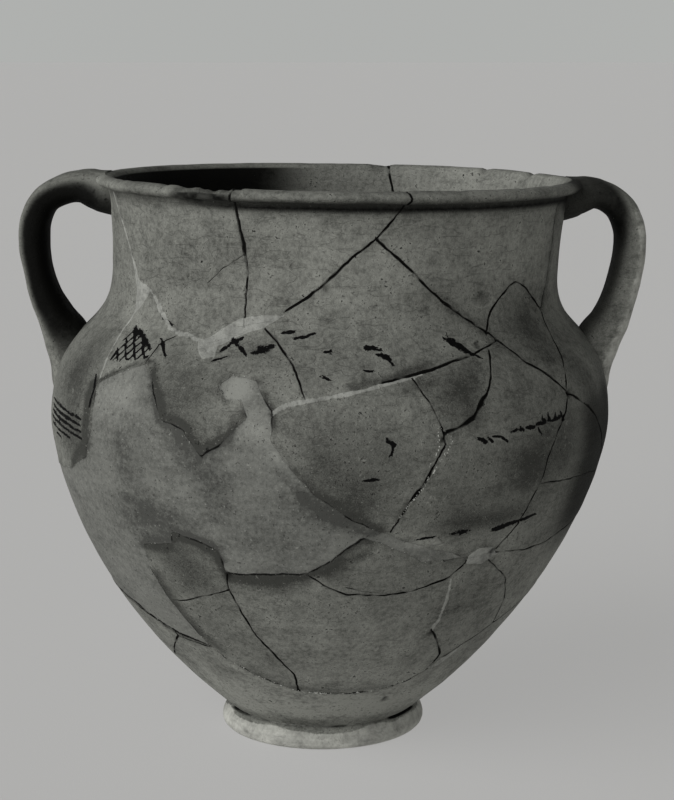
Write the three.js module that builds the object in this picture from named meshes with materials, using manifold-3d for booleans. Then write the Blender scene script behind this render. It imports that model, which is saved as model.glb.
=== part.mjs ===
// Greek krater: a wheel-thrown mixing bowl with a ring foot, a wide neck, a rolled lip and two
// upright strap handles, broken in antiquity and mended. A large panel of the wall is lost and
// made up in plaster, which is a piece of its own let into the clay.
// Units are millimetres, +Z is up, the front faces -Y and the vessel stands on Z = 0.
// Azimuths are degrees round the foot's axis, 0 at the front, growing towards +X.

import * as THREE from 'three';
import { mergeVertices } from 'three/addons/utils/BufferGeometryUtils.js';
import Module from 'manifold-3d';

const wasm = await Module();
wasm.setup();

// ---------------------------------------------------------------- driving dimensions

const HEIGHT = 360;                 // table to the crest of the lip
const WALL = 7.5;                   // thickness of the thrown wall
const TURN_STEPS = 54;              // facets round the axis

const FOOT = { contact: 62.5, recess: 52, recessDepth: 5, height: 14.5, topRadius: 62 };
const BODY = { footRadius: 61, rise: 0.67, bellyRadius: 179.5, bellyHeight: 207 };
const NECK = { waistRadius: 142.4, waistHeight: 299, topRadius: 146.8, topHeight: 351.5 };
const LIP = { radius: 147.6, height: 355.7, halfWidth: 6.8, halfHeight: 4.3 };
const FLOOR_HEIGHT = 14;            // inside floor at the axis

// The pot dried and was fired a little out of true: its centre line drifts sideways on the way
// up, and the lip's plane dips to the right.
const LEAN = { linear: 4.61, square: 6.09, rimDip: 0.0135 };
const FOOT_OFFSET = -6.4;           // centres the whole width, handles included, on the origin

// Handle stations from the lip down to the shoulder: radius, height, thickness, width.
const LEFT_HANDLE = [
  [140, 347.5, 30, 52], [147, 349, 26.5, 49], [153, 350.3, 22.5, 45], [163, 350.9, 20.8, 42],
  [174.3, 348.2, 20, 38], [186, 340.9, 19.5, 37], [191.7, 328, 20, 36], [192, 313, 19.9, 36],
  [189.1, 297, 18.7, 37], [184.3, 281, 20.4, 39], [178, 268, 23, 42], [171, 255.5, 29, 46],
  [166.5, 242, 29, 50], [165, 228, 28.5, 52], [162, 214, 26, 50],
];
const RIGHT_HANDLE = [
  [140, 348.5, 28, 52], [147, 349.8, 24, 49], [153, 350.8, 20.5, 45], [163, 350.8, 19, 42],
  [173, 346.8, 19, 38], [181.6, 339, 19.4, 37], [186.7, 327, 19.8, 36], [187.7, 313, 20.3, 36],
  [185.9, 297, 20.9, 37], [182, 281, 22, 39], [177.5, 268, 24.5, 42], [171, 255.5, 29, 46],
  [166.5, 242, 29, 50], [165, 228, 28.5, 52], [162, 214, 26, 50],
];
const HANDLE_SIDES = 12;
const HANDLE_STEPS = 22;
const SECTION_POWER = 0.8;          // 1 is an ellipse, less is a squarer strap

// Edge of the lost part of the wall, as azimuth and height, clockwise from its upper left tip.
// The plaster fills it to the full thickness of the wall.
const FILL_EDGE = [
  [-52.5, 243], [-47, 250], [-41, 257],                                 // under the hatched sherd
  [-37, 248], [-33, 228], [-28, 224], [-24, 209], [-20.5, 217], [-15.5, 233], [-17, 243],
  [-20, 242], [-22.3, 249], [-19.8, 256], [-14.5, 253],                 // round hole filled in
  [-10.8, 237], [-10.8, 222], [-6.6, 205], [-2.6, 191], [4.8, 174], [12, 165],
  [21, 154], [31, 145], [20, 146], [13.5, 156], [7, 163.5],             // lens below the middle
  [1.5, 150], [-3.5, 140], [-21.3, 136.5],
  [-22.2, 153], [-32.5, 160], [-33, 152], [-42, 148], [-42, 133], [-39.5, 109], [-34, 81],
  [-44, 84], [-60, 97], [-80, 104], [-103, 118], [-108, 150], [-96, 172], [-74, 180],
  [-64, 184], [-54.5, 197], [-52.3, 215],                               // round the left flank
];
const FILL_GAP = 0.4;               // between the plaster and the clay
const CUT_RADII = [90, 205];        // the cut runs from inside the bowl to outside the belly
const CUT_STEP = 5;                 // widest facet of the cutter's sides, in degrees
const CUT_ROWS = 8;                 // facets along the cut

const MATERIALS = {
  clay: new THREE.MeshStandardMaterial({ color: 0x8a8578, roughness: 0.85, metalness: 0 }),
  plaster: new THREE.MeshStandardMaterial({ color: 0xa9a69b, roughness: 0.9, metalness: 0 }),
};

// ---------------------------------------------------------------- solids and meshes

/** A closed geometry as a solid that can be joined and cut. */
function toSolid(geometry) {
  const bare = geometry.index ? geometry.toNonIndexed() : geometry.clone();
  bare.deleteAttribute('normal');
  bare.deleteAttribute('uv');
  const merged = mergeVertices(bare, 1e-4);
  const corners = merged.index.array;
  const faces = [];
  for (let i = 0; i < corners.length; i += 3) {
    const [a, b, c] = corners.slice(i, i + 3);
    if (a !== b && b !== c && c !== a) faces.push(a, b, c);
  }
  return new wasm.Manifold(new wasm.Mesh({
    numProp: 3,
    vertProperties: Float32Array.from(merged.attributes.position.array),
    triVerts: Uint32Array.from(faces),
  }));
}

/** The solid as a geometry, with the pot's lean put in. */
function toGeometry(solid) {
  const mesh = solid.getMesh();
  const position = new THREE.BufferAttribute(new Float32Array(mesh.vertProperties), 3);
  for (let i = 0; i < position.count; i += 1) {
    const share = position.getZ(i) / HEIGHT;
    const drift = LEAN.linear * share + LEAN.square * share * share + FOOT_OFFSET;
    const x = position.getX(i);
    position.setXYZ(i, x + drift, position.getY(i), position.getZ(i) - LEAN.rimDip * x * share);
  }
  const geometry = new THREE.BufferGeometry();
  geometry.setAttribute('position', position);
  geometry.setIndex(new THREE.BufferAttribute(new Uint32Array(mesh.triVerts), 1));
  geometry.computeVertexNormals();
  return geometry;
}

/** A profile of (radius, height) points turned round the vertical axis. */
function turned(profile) {
  const geometry = new THREE.LatheGeometry(profile, TURN_STEPS);
  geometry.rotateX(Math.PI / 2);
  return toSolid(geometry);
}

/** A closed skin over rings of equal count, with a flat cap at each end. */
function lofted(rings) {
  const position = [];
  const addFace = (a, b, c) => position.push(...a, ...b, ...c);
  const sides = rings[0].length;
  for (let i = 0; i + 1 < rings.length; i += 1) {
    for (let j = 0; j < sides; j += 1) {
      const k = (j + 1) % sides;
      addFace(rings[i][j], rings[i][k], rings[i + 1][k]);
      addFace(rings[i][j], rings[i + 1][k], rings[i + 1][j]);
    }
  }
  const first = rings[0];
  const last = rings[rings.length - 1];
  for (let j = 1; j + 1 < sides; j += 1) {
    addFace(first[0], first[j + 1], first[j]);
    addFace(last[0], last[j], last[j + 1]);
  }
  const geometry = new THREE.BufferGeometry();
  geometry.setAttribute('position', new THREE.Float32BufferAttribute(position, 3));
  return toSolid(geometry);
}

// ---------------------------------------------------------------- thrown body

/** Outside of the body and neck, from the foot up to the underside of the lip. */
function bodyCurves() {
  const reach = 119.6;              // length of the lower curve's first handle
  const point = (r, z) => new THREE.Vector2(r, z);
  const foot = point(BODY.footRadius, FOOT.height);
  const belly = point(BODY.bellyRadius, BODY.bellyHeight);
  const waist = point(NECK.waistRadius, NECK.waistHeight);
  const top = point(NECK.topRadius, NECK.topHeight);
  const footPull = point(foot.x + reach * Math.cos(BODY.rise), foot.y + reach * Math.sin(BODY.rise));
  return [
    new THREE.CubicBezierCurve(foot, footPull, point(belly.x, belly.y - 22.9), belly),
    new THREE.CubicBezierCurve(belly, point(belly.x, belly.y + 64.9),
      point(waist.x, waist.y - 41.4), waist),
    new THREE.CubicBezierCurve(waist, point(waist.x, waist.y + 34.7),
      point(top.x - 1.3, top.y - 5.5), top),
  ];
}

/** Points along the body curves, pushed inwards by the given depth. */
function bodyPoints(depth, steps) {
  const points = [];
  bodyCurves().forEach((curve, index) => {
    for (let i = index === 0 ? 0 : 1; i <= steps[index]; i += 1) {
      const share = i / steps[index];
      const tangent = curve.getTangent(share);
      const inwards = new THREE.Vector2(-tangent.y, tangent.x);
      points.push(curve.getPoint(share).addScaledVector(inwards, depth));
    }
  });
  return points;
}

/** Points on the lip's bead between two angles, 0 facing outwards and 90 on the crest. */
function lipPoints(from, to, steps) {
  return Array.from({ length: steps + 1 }, (_, i) => {
    const angle = THREE.MathUtils.degToRad(from + (to - from) * i / steps);
    return new THREE.Vector2(LIP.radius + LIP.halfWidth * Math.cos(angle),
      LIP.height + LIP.halfHeight * Math.sin(angle));
  });
}

/** Inside of the bowl from the lip's inner side down to the middle of the floor. */
function insidePoints() {
  const inner = bodyPoints(WALL, [7, 5, 3]).reverse().slice(1);
  const corner = inner[inner.length - 1];
  const pull = corner.x - (corner.y - FLOOR_HEIGHT) / Math.tan(BODY.rise);
  const floor = new THREE.QuadraticBezierCurve(corner, new THREE.Vector2(pull, FLOOR_HEIGHT),
    new THREE.Vector2(0, FLOOR_HEIGHT));
  return [...inner, ...floor.getPoints(4).slice(1)];
}

function thrownWall() {
  const footSide = new THREE.CubicBezierCurve(new THREE.Vector2(FOOT.contact, 0),
    new THREE.Vector2(FOOT.contact + 5, 1), new THREE.Vector2(FOOT.contact + 6.5, 8.5),
    new THREE.Vector2(FOOT.topRadius, FOOT.height - 0.3));
  return turned([
    new THREE.Vector2(0, FOOT.recessDepth),
    new THREE.Vector2(FOOT.recess - 2, FOOT.recessDepth),
    new THREE.Vector2(FOOT.recess, 0),
    ...footSide.getPoints(5),
    ...bodyPoints(0, [9, 7, 4]),
    ...lipPoints(-70, 180, 8),
    ...insidePoints(),
  ]);
}

/** The bowl's space carried to the middle of the wall: handles end inside the clay, not in it. */
function handleTrim() {
  const clearance = 20;             // carried above the lip
  const middle = bodyPoints(WALL / 2, [7, 5, 3]);
  return turned([
    new THREE.Vector2(0, middle[0].y),
    ...middle,
    new THREE.Vector2(LIP.radius, LIP.height),
    new THREE.Vector2(LIP.radius, HEIGHT + clearance),
    new THREE.Vector2(0, HEIGHT + clearance),
  ]);
}

// ---------------------------------------------------------------- handles

/** A strap handle swept down the given stations; side is -1 for left and 1 for right. */
function strapHandle(stations, side) {
  const middle = new THREE.SplineCurve(stations.map(([r, z]) => new THREE.Vector2(r, z)));
  const section = new THREE.SplineCurve(stations.map((s) => new THREE.Vector2(s[2] / 2, s[3] / 2)));
  const rounded = (value) => Math.sign(value) * Math.abs(value) ** SECTION_POWER;
  const rings = [];
  for (let i = 0; i <= HANDLE_STEPS; i += 1) {
    const share = i / HANDLE_STEPS;
    const centre = middle.getPoint(share);
    const tangent = middle.getTangent(share);
    const half = section.getPoint(share);
    const ring = [];
    for (let j = 0; j < HANDLE_SIDES; j += 1) {
      const turn = -side * 2 * Math.PI * j / HANDLE_SIDES;
      const out = half.x * rounded(Math.cos(turn));
      const along = half.y * rounded(Math.sin(turn));
      ring.push([side * (centre.x - tangent.y * out), along, centre.y + tangent.x * out]);
    }
    rings.push(ring);
  }
  return lofted(rings);
}

// ---------------------------------------------------------------- plaster fill

/** The fill's edge with points added until no two are further apart than the cut's step. */
function fineEdge() {
  return FILL_EDGE.flatMap(([azimuth, z], i) => {
    const [nextAzimuth, nextZ] = FILL_EDGE[(i + 1) % FILL_EDGE.length];
    const count = Math.ceil(Math.abs(nextAzimuth - azimuth) / CUT_STEP);
    const steps = Array.from({ length: Math.max(1, count) }, (_, k) => k / Math.max(1, count));
    return steps.map((share) => new THREE.Vector2(
      azimuth + (nextAzimuth - azimuth) * share, z + (nextZ - z) * share));
  });
}

/** The fill's edge moved outwards by the given distance, measured on the wall's mean radius. */
function spreadEdge(distance) {
  const meanRadius = 165;
  const sharpest = 0.35;            // limits how far a sharp corner is drawn out
  const scale = THREE.MathUtils.degToRad(meanRadius);
  const points = fineEdge().map((point) => new THREE.Vector2(point.x * scale, point.y));
  const normalOf = (a, b) => new THREE.Vector2(a.y - b.y, b.x - a.x).normalize();
  return points.map((point, i) => {
    const before = points[(i + points.length - 1) % points.length];
    const after = points[(i + 1) % points.length];
    const normal = normalOf(before, point).add(normalOf(point, after)).normalize();
    const reach = distance / Math.max(sharpest, normal.dot(normalOf(point, after)));
    const moved = point.clone().addScaledVector(normal, reach);
    return new THREE.Vector2(moved.x / scale, moved.y);
  });
}

/** A prism over an edge given clockwise, running outwards from the axis through the wall. */
function radialPrism(clockwiseEdge) {
  const edge = [...clockwiseEdge].reverse();
  const [inner, outer] = CUT_RADII;
  const position = [];
  const addFace = (...corners) => corners.forEach((corner) => position.push(...corner));
  const place = (point, radius) => {
    const turn = THREE.MathUtils.degToRad(point.x);
    return [radius * Math.sin(turn), -radius * Math.cos(turn), point.y];
  };

  // Each cap is split at the middle of its widest side until it follows the cylinder.
  const span = (a, b) => Math.abs(a.x - b.x);
  const addCaps = (a, b, c) => {
    const widest = Math.max(span(a, b), span(b, c), span(c, a));
    if (widest <= 2 * CUT_STEP) {
      addFace(place(a, outer), place(b, outer), place(c, outer));
      addFace(place(a, inner), place(c, inner), place(b, inner));
    } else if (widest === span(a, b)) {
      const middle = new THREE.Vector2((a.x + b.x) / 2, (a.y + b.y) / 2);
      addCaps(a, middle, c);
      addCaps(middle, b, c);
    } else {
      addCaps(b, c, a);
    }
  };
  THREE.ShapeUtils.triangulateShape(edge, []).forEach(([a, b, c]) => addCaps(edge[a], edge[b], edge[c]));

  edge.forEach((a, i) => {
    const b = edge[(i + 1) % edge.length];
    for (let row = 0; row < CUT_ROWS; row += 1) {
      const near = inner + (outer - inner) * row / CUT_ROWS;
      const far = inner + (outer - inner) * (row + 1) / CUT_ROWS;
      addFace(place(a, near), place(b, near), place(b, far));
      addFace(place(a, near), place(b, far), place(a, far));
    }
  });
  const geometry = new THREE.BufferGeometry();
  geometry.setAttribute('position', new THREE.Float32BufferAttribute(position, 3));
  return toSolid(geometry);
}

// ---------------------------------------------------------------- the krater

const wall = thrownWall();
const handles = strapHandle(LEFT_HANDLE, -1).add(strapHandle(RIGHT_HANDLE, 1)).subtract(handleTrim());
const vesselSolid = wall.add(handles).subtract(radialPrism(spreadEdge(FILL_GAP / 2)));
const fillSolid = wall.intersect(radialPrism(spreadEdge(-FILL_GAP / 2)));

const vessel = new THREE.Mesh(toGeometry(vesselSolid), MATERIALS.clay);
vessel.name = 'vessel';
const plasterFill = new THREE.Mesh(toGeometry(fillSolid), MATERIALS.plaster);
plasterFill.name = 'plaster_fill';

const krater = new THREE.Group();
krater.name = 'greek_krater';
krater.add(vessel, plasterFill);

export default krater;
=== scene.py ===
"""Greek krater with glued joints, a plaster fill and worn paint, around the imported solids.

The clay wall is a profile turned round the axis, cut up by the joints between its sherds. It is
laid out flat first, azimuth against length along the profile, filled with points that crowd along
the joints, painted strokes and chips, joined into triangles and only then wrapped into its round
form and moved in and out along its normal by the relief. The plaster fill is made the same way
from the same sheet, and the two handles are straps swept down a path.

Sizes are millimetres in the functions and metres in the meshes. Azimuths are degrees round the
foot's axis, 0 at the front (-Y), growing towards +X.
"""

import functools
import math

import bpy
import numpy as np
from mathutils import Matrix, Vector
from mathutils.geometry import delaunay_2d_cdt


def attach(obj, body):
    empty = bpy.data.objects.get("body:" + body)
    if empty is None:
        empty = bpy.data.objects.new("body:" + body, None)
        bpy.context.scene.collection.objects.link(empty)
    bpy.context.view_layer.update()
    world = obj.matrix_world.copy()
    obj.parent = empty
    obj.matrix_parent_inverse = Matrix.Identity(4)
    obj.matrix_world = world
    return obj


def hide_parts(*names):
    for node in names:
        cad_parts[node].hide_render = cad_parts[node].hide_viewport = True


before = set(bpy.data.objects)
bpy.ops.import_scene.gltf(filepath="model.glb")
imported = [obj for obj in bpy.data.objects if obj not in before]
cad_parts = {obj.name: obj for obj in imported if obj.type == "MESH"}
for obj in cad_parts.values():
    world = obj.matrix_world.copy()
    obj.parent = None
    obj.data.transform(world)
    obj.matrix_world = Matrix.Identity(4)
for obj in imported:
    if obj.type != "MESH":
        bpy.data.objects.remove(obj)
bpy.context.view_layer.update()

bl_info = {
    "name": "Greek Krater",
    "version": (1, 0, 0),
    "blender": (4, 5, 0),
    "location": "View3D > Sidebar > Krater",
    "description": "Builds a mended Greek krater with joints, plaster fill and worn paint",
    "category": "Add Mesh",
}

MM = 0.001

FLOOR_REACH = 90000.0               # millimetres from the axis to each side of the table
SUN_SHINES = (0.72, 0.62, -0.42)    # the way that the left light travels
CAMERA_ASIDE = 0.00313              # metres

# ---- form, in millimetres

HEIGHT = 360.0
WALL = 7.5
FOOT_OFFSET = -6.4
LEAN_LINEAR = 4.61
LEAN_SQUARE = 6.09
RIM_DIP = 0.0135
SPREAD = 180.0          # radius that azimuths are laid out on in the flat sheet
PERIOD = 2 * math.pi * SPREAD

FOOT_CONTACT = 62.5
FOOT_RECESS = 52.0
RECESS_DEPTH = 5.0
FOOT_GROOVE = (60.2, 14.6)
BODY_START = (61, 14.5)
BODY_RISE = 0.67        # angle that the body leaves the foot at
BODY_PULL = 119.6       # how far the curve is drawn out at that angle
WIDEST = (179.5, 207)
WAIST = (142.4, 299)
NECK_TOP = (146.8, 351.5)
LIP_MIDDLE = (147.6, 355.7)
LIP_HALF_WIDTH = 6.8
LIP_HALF_HEIGHT = 4.3
LIP_START = 352.0       # height where the neck runs into the lip
FLOOR_HEIGHT = 14.0

# Handle stations from the lip down to the shoulder: radius, height, thickness, width.
HANDLE_ROOT = ((171, 255.5, 29, 46), (166.5, 242, 29, 50), (165, 228, 28.5, 52),
               (162, 214, 26, 50))
LEFT_HANDLE = (
    (140, 347, 29, 62), (147, 347.6, 27.5, 59), (153, 348.7, 25.3, 52), (163, 350.5, 21, 43),
    (174.3, 348.2, 20, 38), (186, 340.9, 19.5, 37), (191.7, 328, 20, 36), (192, 313, 19.9, 36),
    (189.1, 297, 18.7, 37), (184.3, 281, 20.4, 39), (178, 268, 23, 42), *HANDLE_ROOT,
)
RIGHT_HANDLE = (
    (140, 347, 29, 62), (147, 347.9, 27, 59), (153, 349.1, 24, 52), (163, 350.4, 19.6, 43),
    (173, 346.8, 19, 38), (181.6, 339, 19.4, 37), (186.7, 327, 19.8, 36), (187.7, 313, 20.3, 36),
    (185.9, 297, 20.9, 37), (182, 281, 22, 39), (177.5, 268, 24.5, 42), *HANDLE_ROOT,
)

# Glaze on the handles, down their length, partly painted shade on the faces turned from the light:
# share of the length, where it begins between the outer face (1) and the inner face (-1), and how
# thick it is.
LEFT_GLAZE_AND_SHADE = ((0, 0.6, 0.75), (0.16, 0.75, 0.95), (0.26, 0.85, 1.0), (0.42, 1.1, 1.0),
              (0.66, 1.1, 1.0), (0.76, 1.0, 0.85), (0.88, 0.8, 0.4), (1, 0.6, 0.0))
RIGHT_GLAZE_AND_SHADE = ((0, 2.0, 0.68), (0.18, 2.0, 0.7), (0.28, 1.3, 0.8), (0.38, 0.55, 0.9),
               (0.5, 0.2, 0.7), (0.72, 0.0, 0.5), (1, -0.2, 0.3))

# Name, stations, side, where the random numbers begin, glaze with painted shade, and how much
# paler (painted light) and how bare (wear with painted light) the outer face is.
HANDLES = (
    ("left_handle", LEFT_HANDLE, -1, 40, LEFT_GLAZE_AND_SHADE, 0.15, 0.0),
    ("right_handle", RIGHT_HANDLE, 1, 60, RIGHT_GLAZE_AND_SHADE, 0.5, 0.66),
)

# Edge of the plaster fill as azimuth and height, clockwise from its upper left tip.
FILL_EDGE = (
    (-52.5, 243), (-47, 250), (-41, 257), (-37, 248), (-33, 228), (-28, 224), (-24, 209),
    (-20.5, 217), (-15.5, 233), (-17, 243), (-20, 242), (-22.3, 249), (-19.8, 256),
    (-14.5, 253), (-10.8, 237), (-10.8, 222), (-6.6, 205), (-2.6, 191), (4.8, 174), (12, 165),
    (21, 154), (31, 145), (20, 146), (13.5, 156), (7, 163.5), (1.5, 150), (-3.5, 140),
    (-21.3, 136.5), (-22.2, 153), (-32.5, 160), (-33, 152), (-42, 148), (-42, 133),
    (-39.5, 109), (-34, 81), (-44, 84), (-60, 97), (-80, 104), (-103, 118), (-108, 150),
    (-96, 172), (-74, 180), (-64, 184), (-54.5, 197), (-52.3, 215),
)

# Lines on the outside of the clay: kind, half width in millimetres, then azimuths and heights.
# open: a joint that gapes; tight: a closed joint or crack; mend: a joint smeared with plaster;
# bits: crumbs of plaster along a joint. A line's place in the table sets its random course.
LINES = (
    ("open", 1.1, (-23.4, 359.5), (-24.2, 352), (-23, 340), (-21.6, 323), (-20.6, 311)),
    ("open", 0.6, (-20.6, 311), (-21, 298), (-20.6, 281)),
    ("tight", 0.2, (-31, 304), (-27, 313), (-22, 321)),
    ("open", 0.5, (15.2, 359.5), (15.8, 355), (14.4, 350), (9, 332)),
    ("open", 0.7, (9, 332), (3.8, 321), (-1.2, 309), (-3.2, 304), (-11.2, 290)),
    ("open", 0.75, (9, 332), (20.6, 307), (25.4, 297), (31.2, 286), (37.4, 276), (40.8, 268),
     (44.4, 258), (50.6, 246), (54, 238), (60.4, 229), (65.4, 219), (69, 209), (72.6, 197),
     (78, 178), (88, 160), (101, 148)),
    ("open", 0.5, (37.4, 276), (40, 287), (43.2, 294), (46.6, 301), (49.6, 303), (53.2, 299),
     (57.6, 291), (61, 284)),
    ("tight", 0.4, (67, 345), (68, 325), (66, 300), (61, 284)),
    ("open", 0.45, (61, 284), (60, 272), (57, 258), (53.4, 241)),
    ("mend", 1.5, (-10.8, 236), (-8, 241), (-4.4, 244), (0, 246)),
    ("mend", 0.9, (0, 246), (11.8, 253), (18, 257)),
    ("open", 1.1, (10, 253.5), (18.2, 258), (23, 261), (31.8, 266)),
    ("open", 0.7, (31.8, 266), (39, 271)),
    ("tight", 0.4, (16, 255), (19, 241), (20.8, 229)),
    ("open", 0.45, (35.8, 267), (33.4, 253), (31, 244)),
    ("open", 1.5, (31, 244), (30, 241), (27.4, 232), (24.4, 227), (21.8, 225.5)),
    ("open", 0.6, (20.8, 229), (21.6, 219), (19.2, 205)),
    ("open", 1.1, (19.2, 205), (17.6, 195), (15.4, 185)),
    ("open", 0.5, (15.4, 185), (14.2, 177), (12.4, 167)),
    ("bits", 0.8, (20.6, 229), (22.8, 221), (22, 214), (19.8, 204), (17, 190), (12.6, 170)),
    ("bits", 0.7, (20.2, 226), (20.4, 217), (18.4, 206)),
    ("open", 0.5, (-3.4, 139), (0, 132), (4.8, 126), (11.8, 125), (19.4, 126), (24, 130),
     (27.6, 133), (31, 143)),
    ("tight", 0.35, (4.6, 131), (8, 128.5), (11.6, 126.8)),
    ("mend", 0.9, (28.4, 131), (29.2, 118), (29.6, 103), (28.6, 95)),
    ("open", 0.6, (28.4, 95), (31, 90), (36.8, 73), (35.6, 60)),
    ("open", 0.5, (-21.3, 135.5), (-21.4, 127), (-19.8, 110), (-17, 93), (-12.6, 76), (-9, 64),
     (-8.6, 50)),
    ("tight", 0.4, (-38.5, 112), (-33.8, 114), (-21.4, 126)),
    ("open", 0.5, (-33.8, 80.5), (-28.6, 69), (-19.8, 58), (-11.2, 50), (-2, 48), (9.6, 47),
     (20.8, 48), (28.6, 53), (36.6, 61), (39.2, 70), (44, 76), (53.8, 87), (70, 99), (90, 104)),
    ("bits", 0.9, (-33.8, 80.5), (-28.6, 69), (-19.8, 58), (-11.2, 50), (-2, 48), (9.6, 47),
     (20.8, 48), (28.6, 53), (36.6, 61), (39.2, 70)),
    ("open", 0.5, (-60.6, 95.5), (-45.8, 86), (-45.2, 82), (-62.2, 58)),
    ("tight", 0.4, (-44.8, 82), (-34.2, 79.5)),
    ("tight", 0.4, (36, 143), (45.2, 125), (51, 107), (53.8, 87)),
    ("open", 0.5, (53.4, 238), (51.6, 228), (48.6, 217), (46, 203), (45.2, 189), (43.4, 174),
     (41.8, 163), (37.5, 147)),
    ("tight", 0.4, (45.2, 187), (62.8, 184), (78, 178)),
    ("tight", 0.5, (31.6, 145), (37.5, 146), (47.6, 143), (55.6, 143), (64.2, 147), (78, 152),
     (88, 160)),
    ("open", 0.55, (-16, 281), (-12, 273), (-7.8, 262), (-6, 253), (-4.8, 245)),
    ("mend", 0.6, (-70.5, 350), (-67.6, 340), (-62, 321), (-59.4, 311)),
    ("mend", 1.0, (-59.4, 311), (-57.2, 303)),
    ("mend", 1.2, (-50.2, 295), (-45.4, 285), (-40.5, 277)),
    ("mend", 1.3, (-40.5, 276), (-34.8, 273.5), (-29.6, 271)),
    ("mend", 0.55, (-55.6, 284), (-56.6, 271), (-54.4, 260), (-53, 252), (-52.6, 245)),
    ("tight", 0.3, (-41, 257), (-40.5, 268), (-37.5, 272)),
    ("open", 0.8, (101, 148), (112, 190), (131, 214), (138, 262), (150, 306), (163, 338),
     (166, 359.5)),
    ("tight", 0.6, (131, 214), (160, 203), (178, 214), (196, 190), (232, 178), (249, 152)),
    ("tight", 0.7, (178, 214), (184, 262), (207, 288), (203, 330), (211, 356)),
    ("tight", 0.6, (101, 148), (124, 120), (152, 108), (158, 64)),
    ("open", 0.6, (196, 190), (188, 142), (206, 96), (232, 70), (252, 112)),
)

# What is left of painted strokes: half width, then azimuths and heights.
STROKES = (
    (2.3, (26.4, 274), (28.2, 271.5), (30.4, 266.5)), (1.0, (30.2, 268), (32.4, 264)),
    (3.1, (-16.8, 267.6), (-14.8, 269.4), (-13.2, 271.2)), (1.1, (-11.2, 278.5), (-9, 279)),
    (0.9, (-5.6, 277.5), (-4, 278.6)), (1.5, (-24.4, 267), (-22.6, 271.5), (-20.4, 274.5)),
    (1.2, (-22.4, 273.5), (-20.2, 269.5), (-18.4, 266.5)), (0.8, (-25.4, 262), (-22.4, 265)),
    (0.9, (-8, 276), (-5.4, 277)), (2.2, (8, 271), (9.6, 270.5)),
    (3.0, (9.8, 267.6), (11.8, 266.4)), (0.9, (11.8, 265), (12.6, 262.5)),
    (1.0, (7, 259.6), (8, 259.5)), (1.0, (-1.2, 256), (-0.4, 255)),
    (1.0, (-1.6, 269), (-0.8, 269)), (2.6, (10.8, 221.6), (11.6, 219.6)),
    (0.8, (11.6, 217), (11.4, 215)), (2.0, (28.6, 220), (30.2, 217.4)),
    (1.0, (31.6, 220.5), (33.4, 220)), (1.1, (36, 222), (38.6, 222.6)),
    (1.3, (39.6, 223), (42, 222.6)), (1.5, (42.6, 224), (46.2, 225)),
    (1.1, (43, 221), (43.8, 218)), (1.4, (47, 224.4), (50.4, 226)),
    (1.2, (44.2, 226.6), (44.8, 223.4)), (1.1, (46, 227.4), (46.6, 224.4)),
    (1.2, (48.2, 228), (47.4, 224)), (1.3, (50, 228), (50.8, 223.6)),
    (1.2, (30.4, 220.5), (31.6, 217.4)), (1.1, (33.6, 219.5), (35, 216.5)),
    (1.1, (38.2, 224), (39, 221.6)), (1.6, (25.4, 162.6), (28.4, 163.4)),
    (0.9, (18, 161), (21, 162)), (2.0, (35.4, 162), (38.5, 163.5), (41.6, 165)),
    (1.0, (42.4, 165), (46, 167)), (0.9, (6.8, 199), (9, 199.6)),
    (1.7, (-51.9, 273.4), (-49.6, 271.6), (-47.2, 270), (-44.6, 267), (-42.6, 264.6)),
    (1.2, (-52.3, 256), (-52, 262)), (1.0, (-54.6, 246), (-53.4, 239), (-54, 228)),
    (0.9, (-41, 270), (-39, 266), (-37, 262)), (0.8, (-44, 281), (-40, 278)),
)

# Cross-hatched paint: the field's outline, the strokes' two slopes and their spacing.
HATCHED_FIELDS = (
    {"edge": ((-52.2, 255.5), (-53.2, 266), (-52.3, 274.5), (-47.6, 270.5), (-42.4, 265),
              (-41.4, 260), (-43.4, 258.3), (-47, 257.6)),
     "slopes": (58.0, -36.0), "step": 4.9, "half_width": 0.62},
    {"edge": ((-76, 225), (-57, 221.5), (-56.4, 207), (-70, 201), (-77, 209)),
     "slopes": (-4.0,), "step": 3.7, "half_width": 0.85},
)

# Plaster on top of the clay, as outlines of azimuths and heights.
SMEARS = (
    ((-59.6, 311), (-56.2, 300), (-50.2, 296), (-51.4, 292), (-55.2, 281), (-56.4, 284),
     (-57.2, 294)),
    ((-30.8, 271.5), (-30, 267), (-27.8, 262.5), (-25.2, 264), (-25.4, 269.5), (-22.8, 273.5),
     (-18.8, 278), (-16.2, 280), (-11.4, 287.5), (-16.6, 287.5), (-21.8, 285), (-25.2, 280),
     (-28.4, 273.5)),
    ((31, 146.5), (33, 151), (37, 150), (38.6, 144), (35.4, 139), (31, 141)),
    ((36.4, 62), (38, 67), (45, 77), (44, 71), (39.5, 62)),
)

# Faint ovals: azimuth, height, half width in degrees and half height in millimetres.
OVALS = ((7.8, 278.2, 2.7, 4.2), (37.4, 295.4, 3.6, 5.2))
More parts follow.
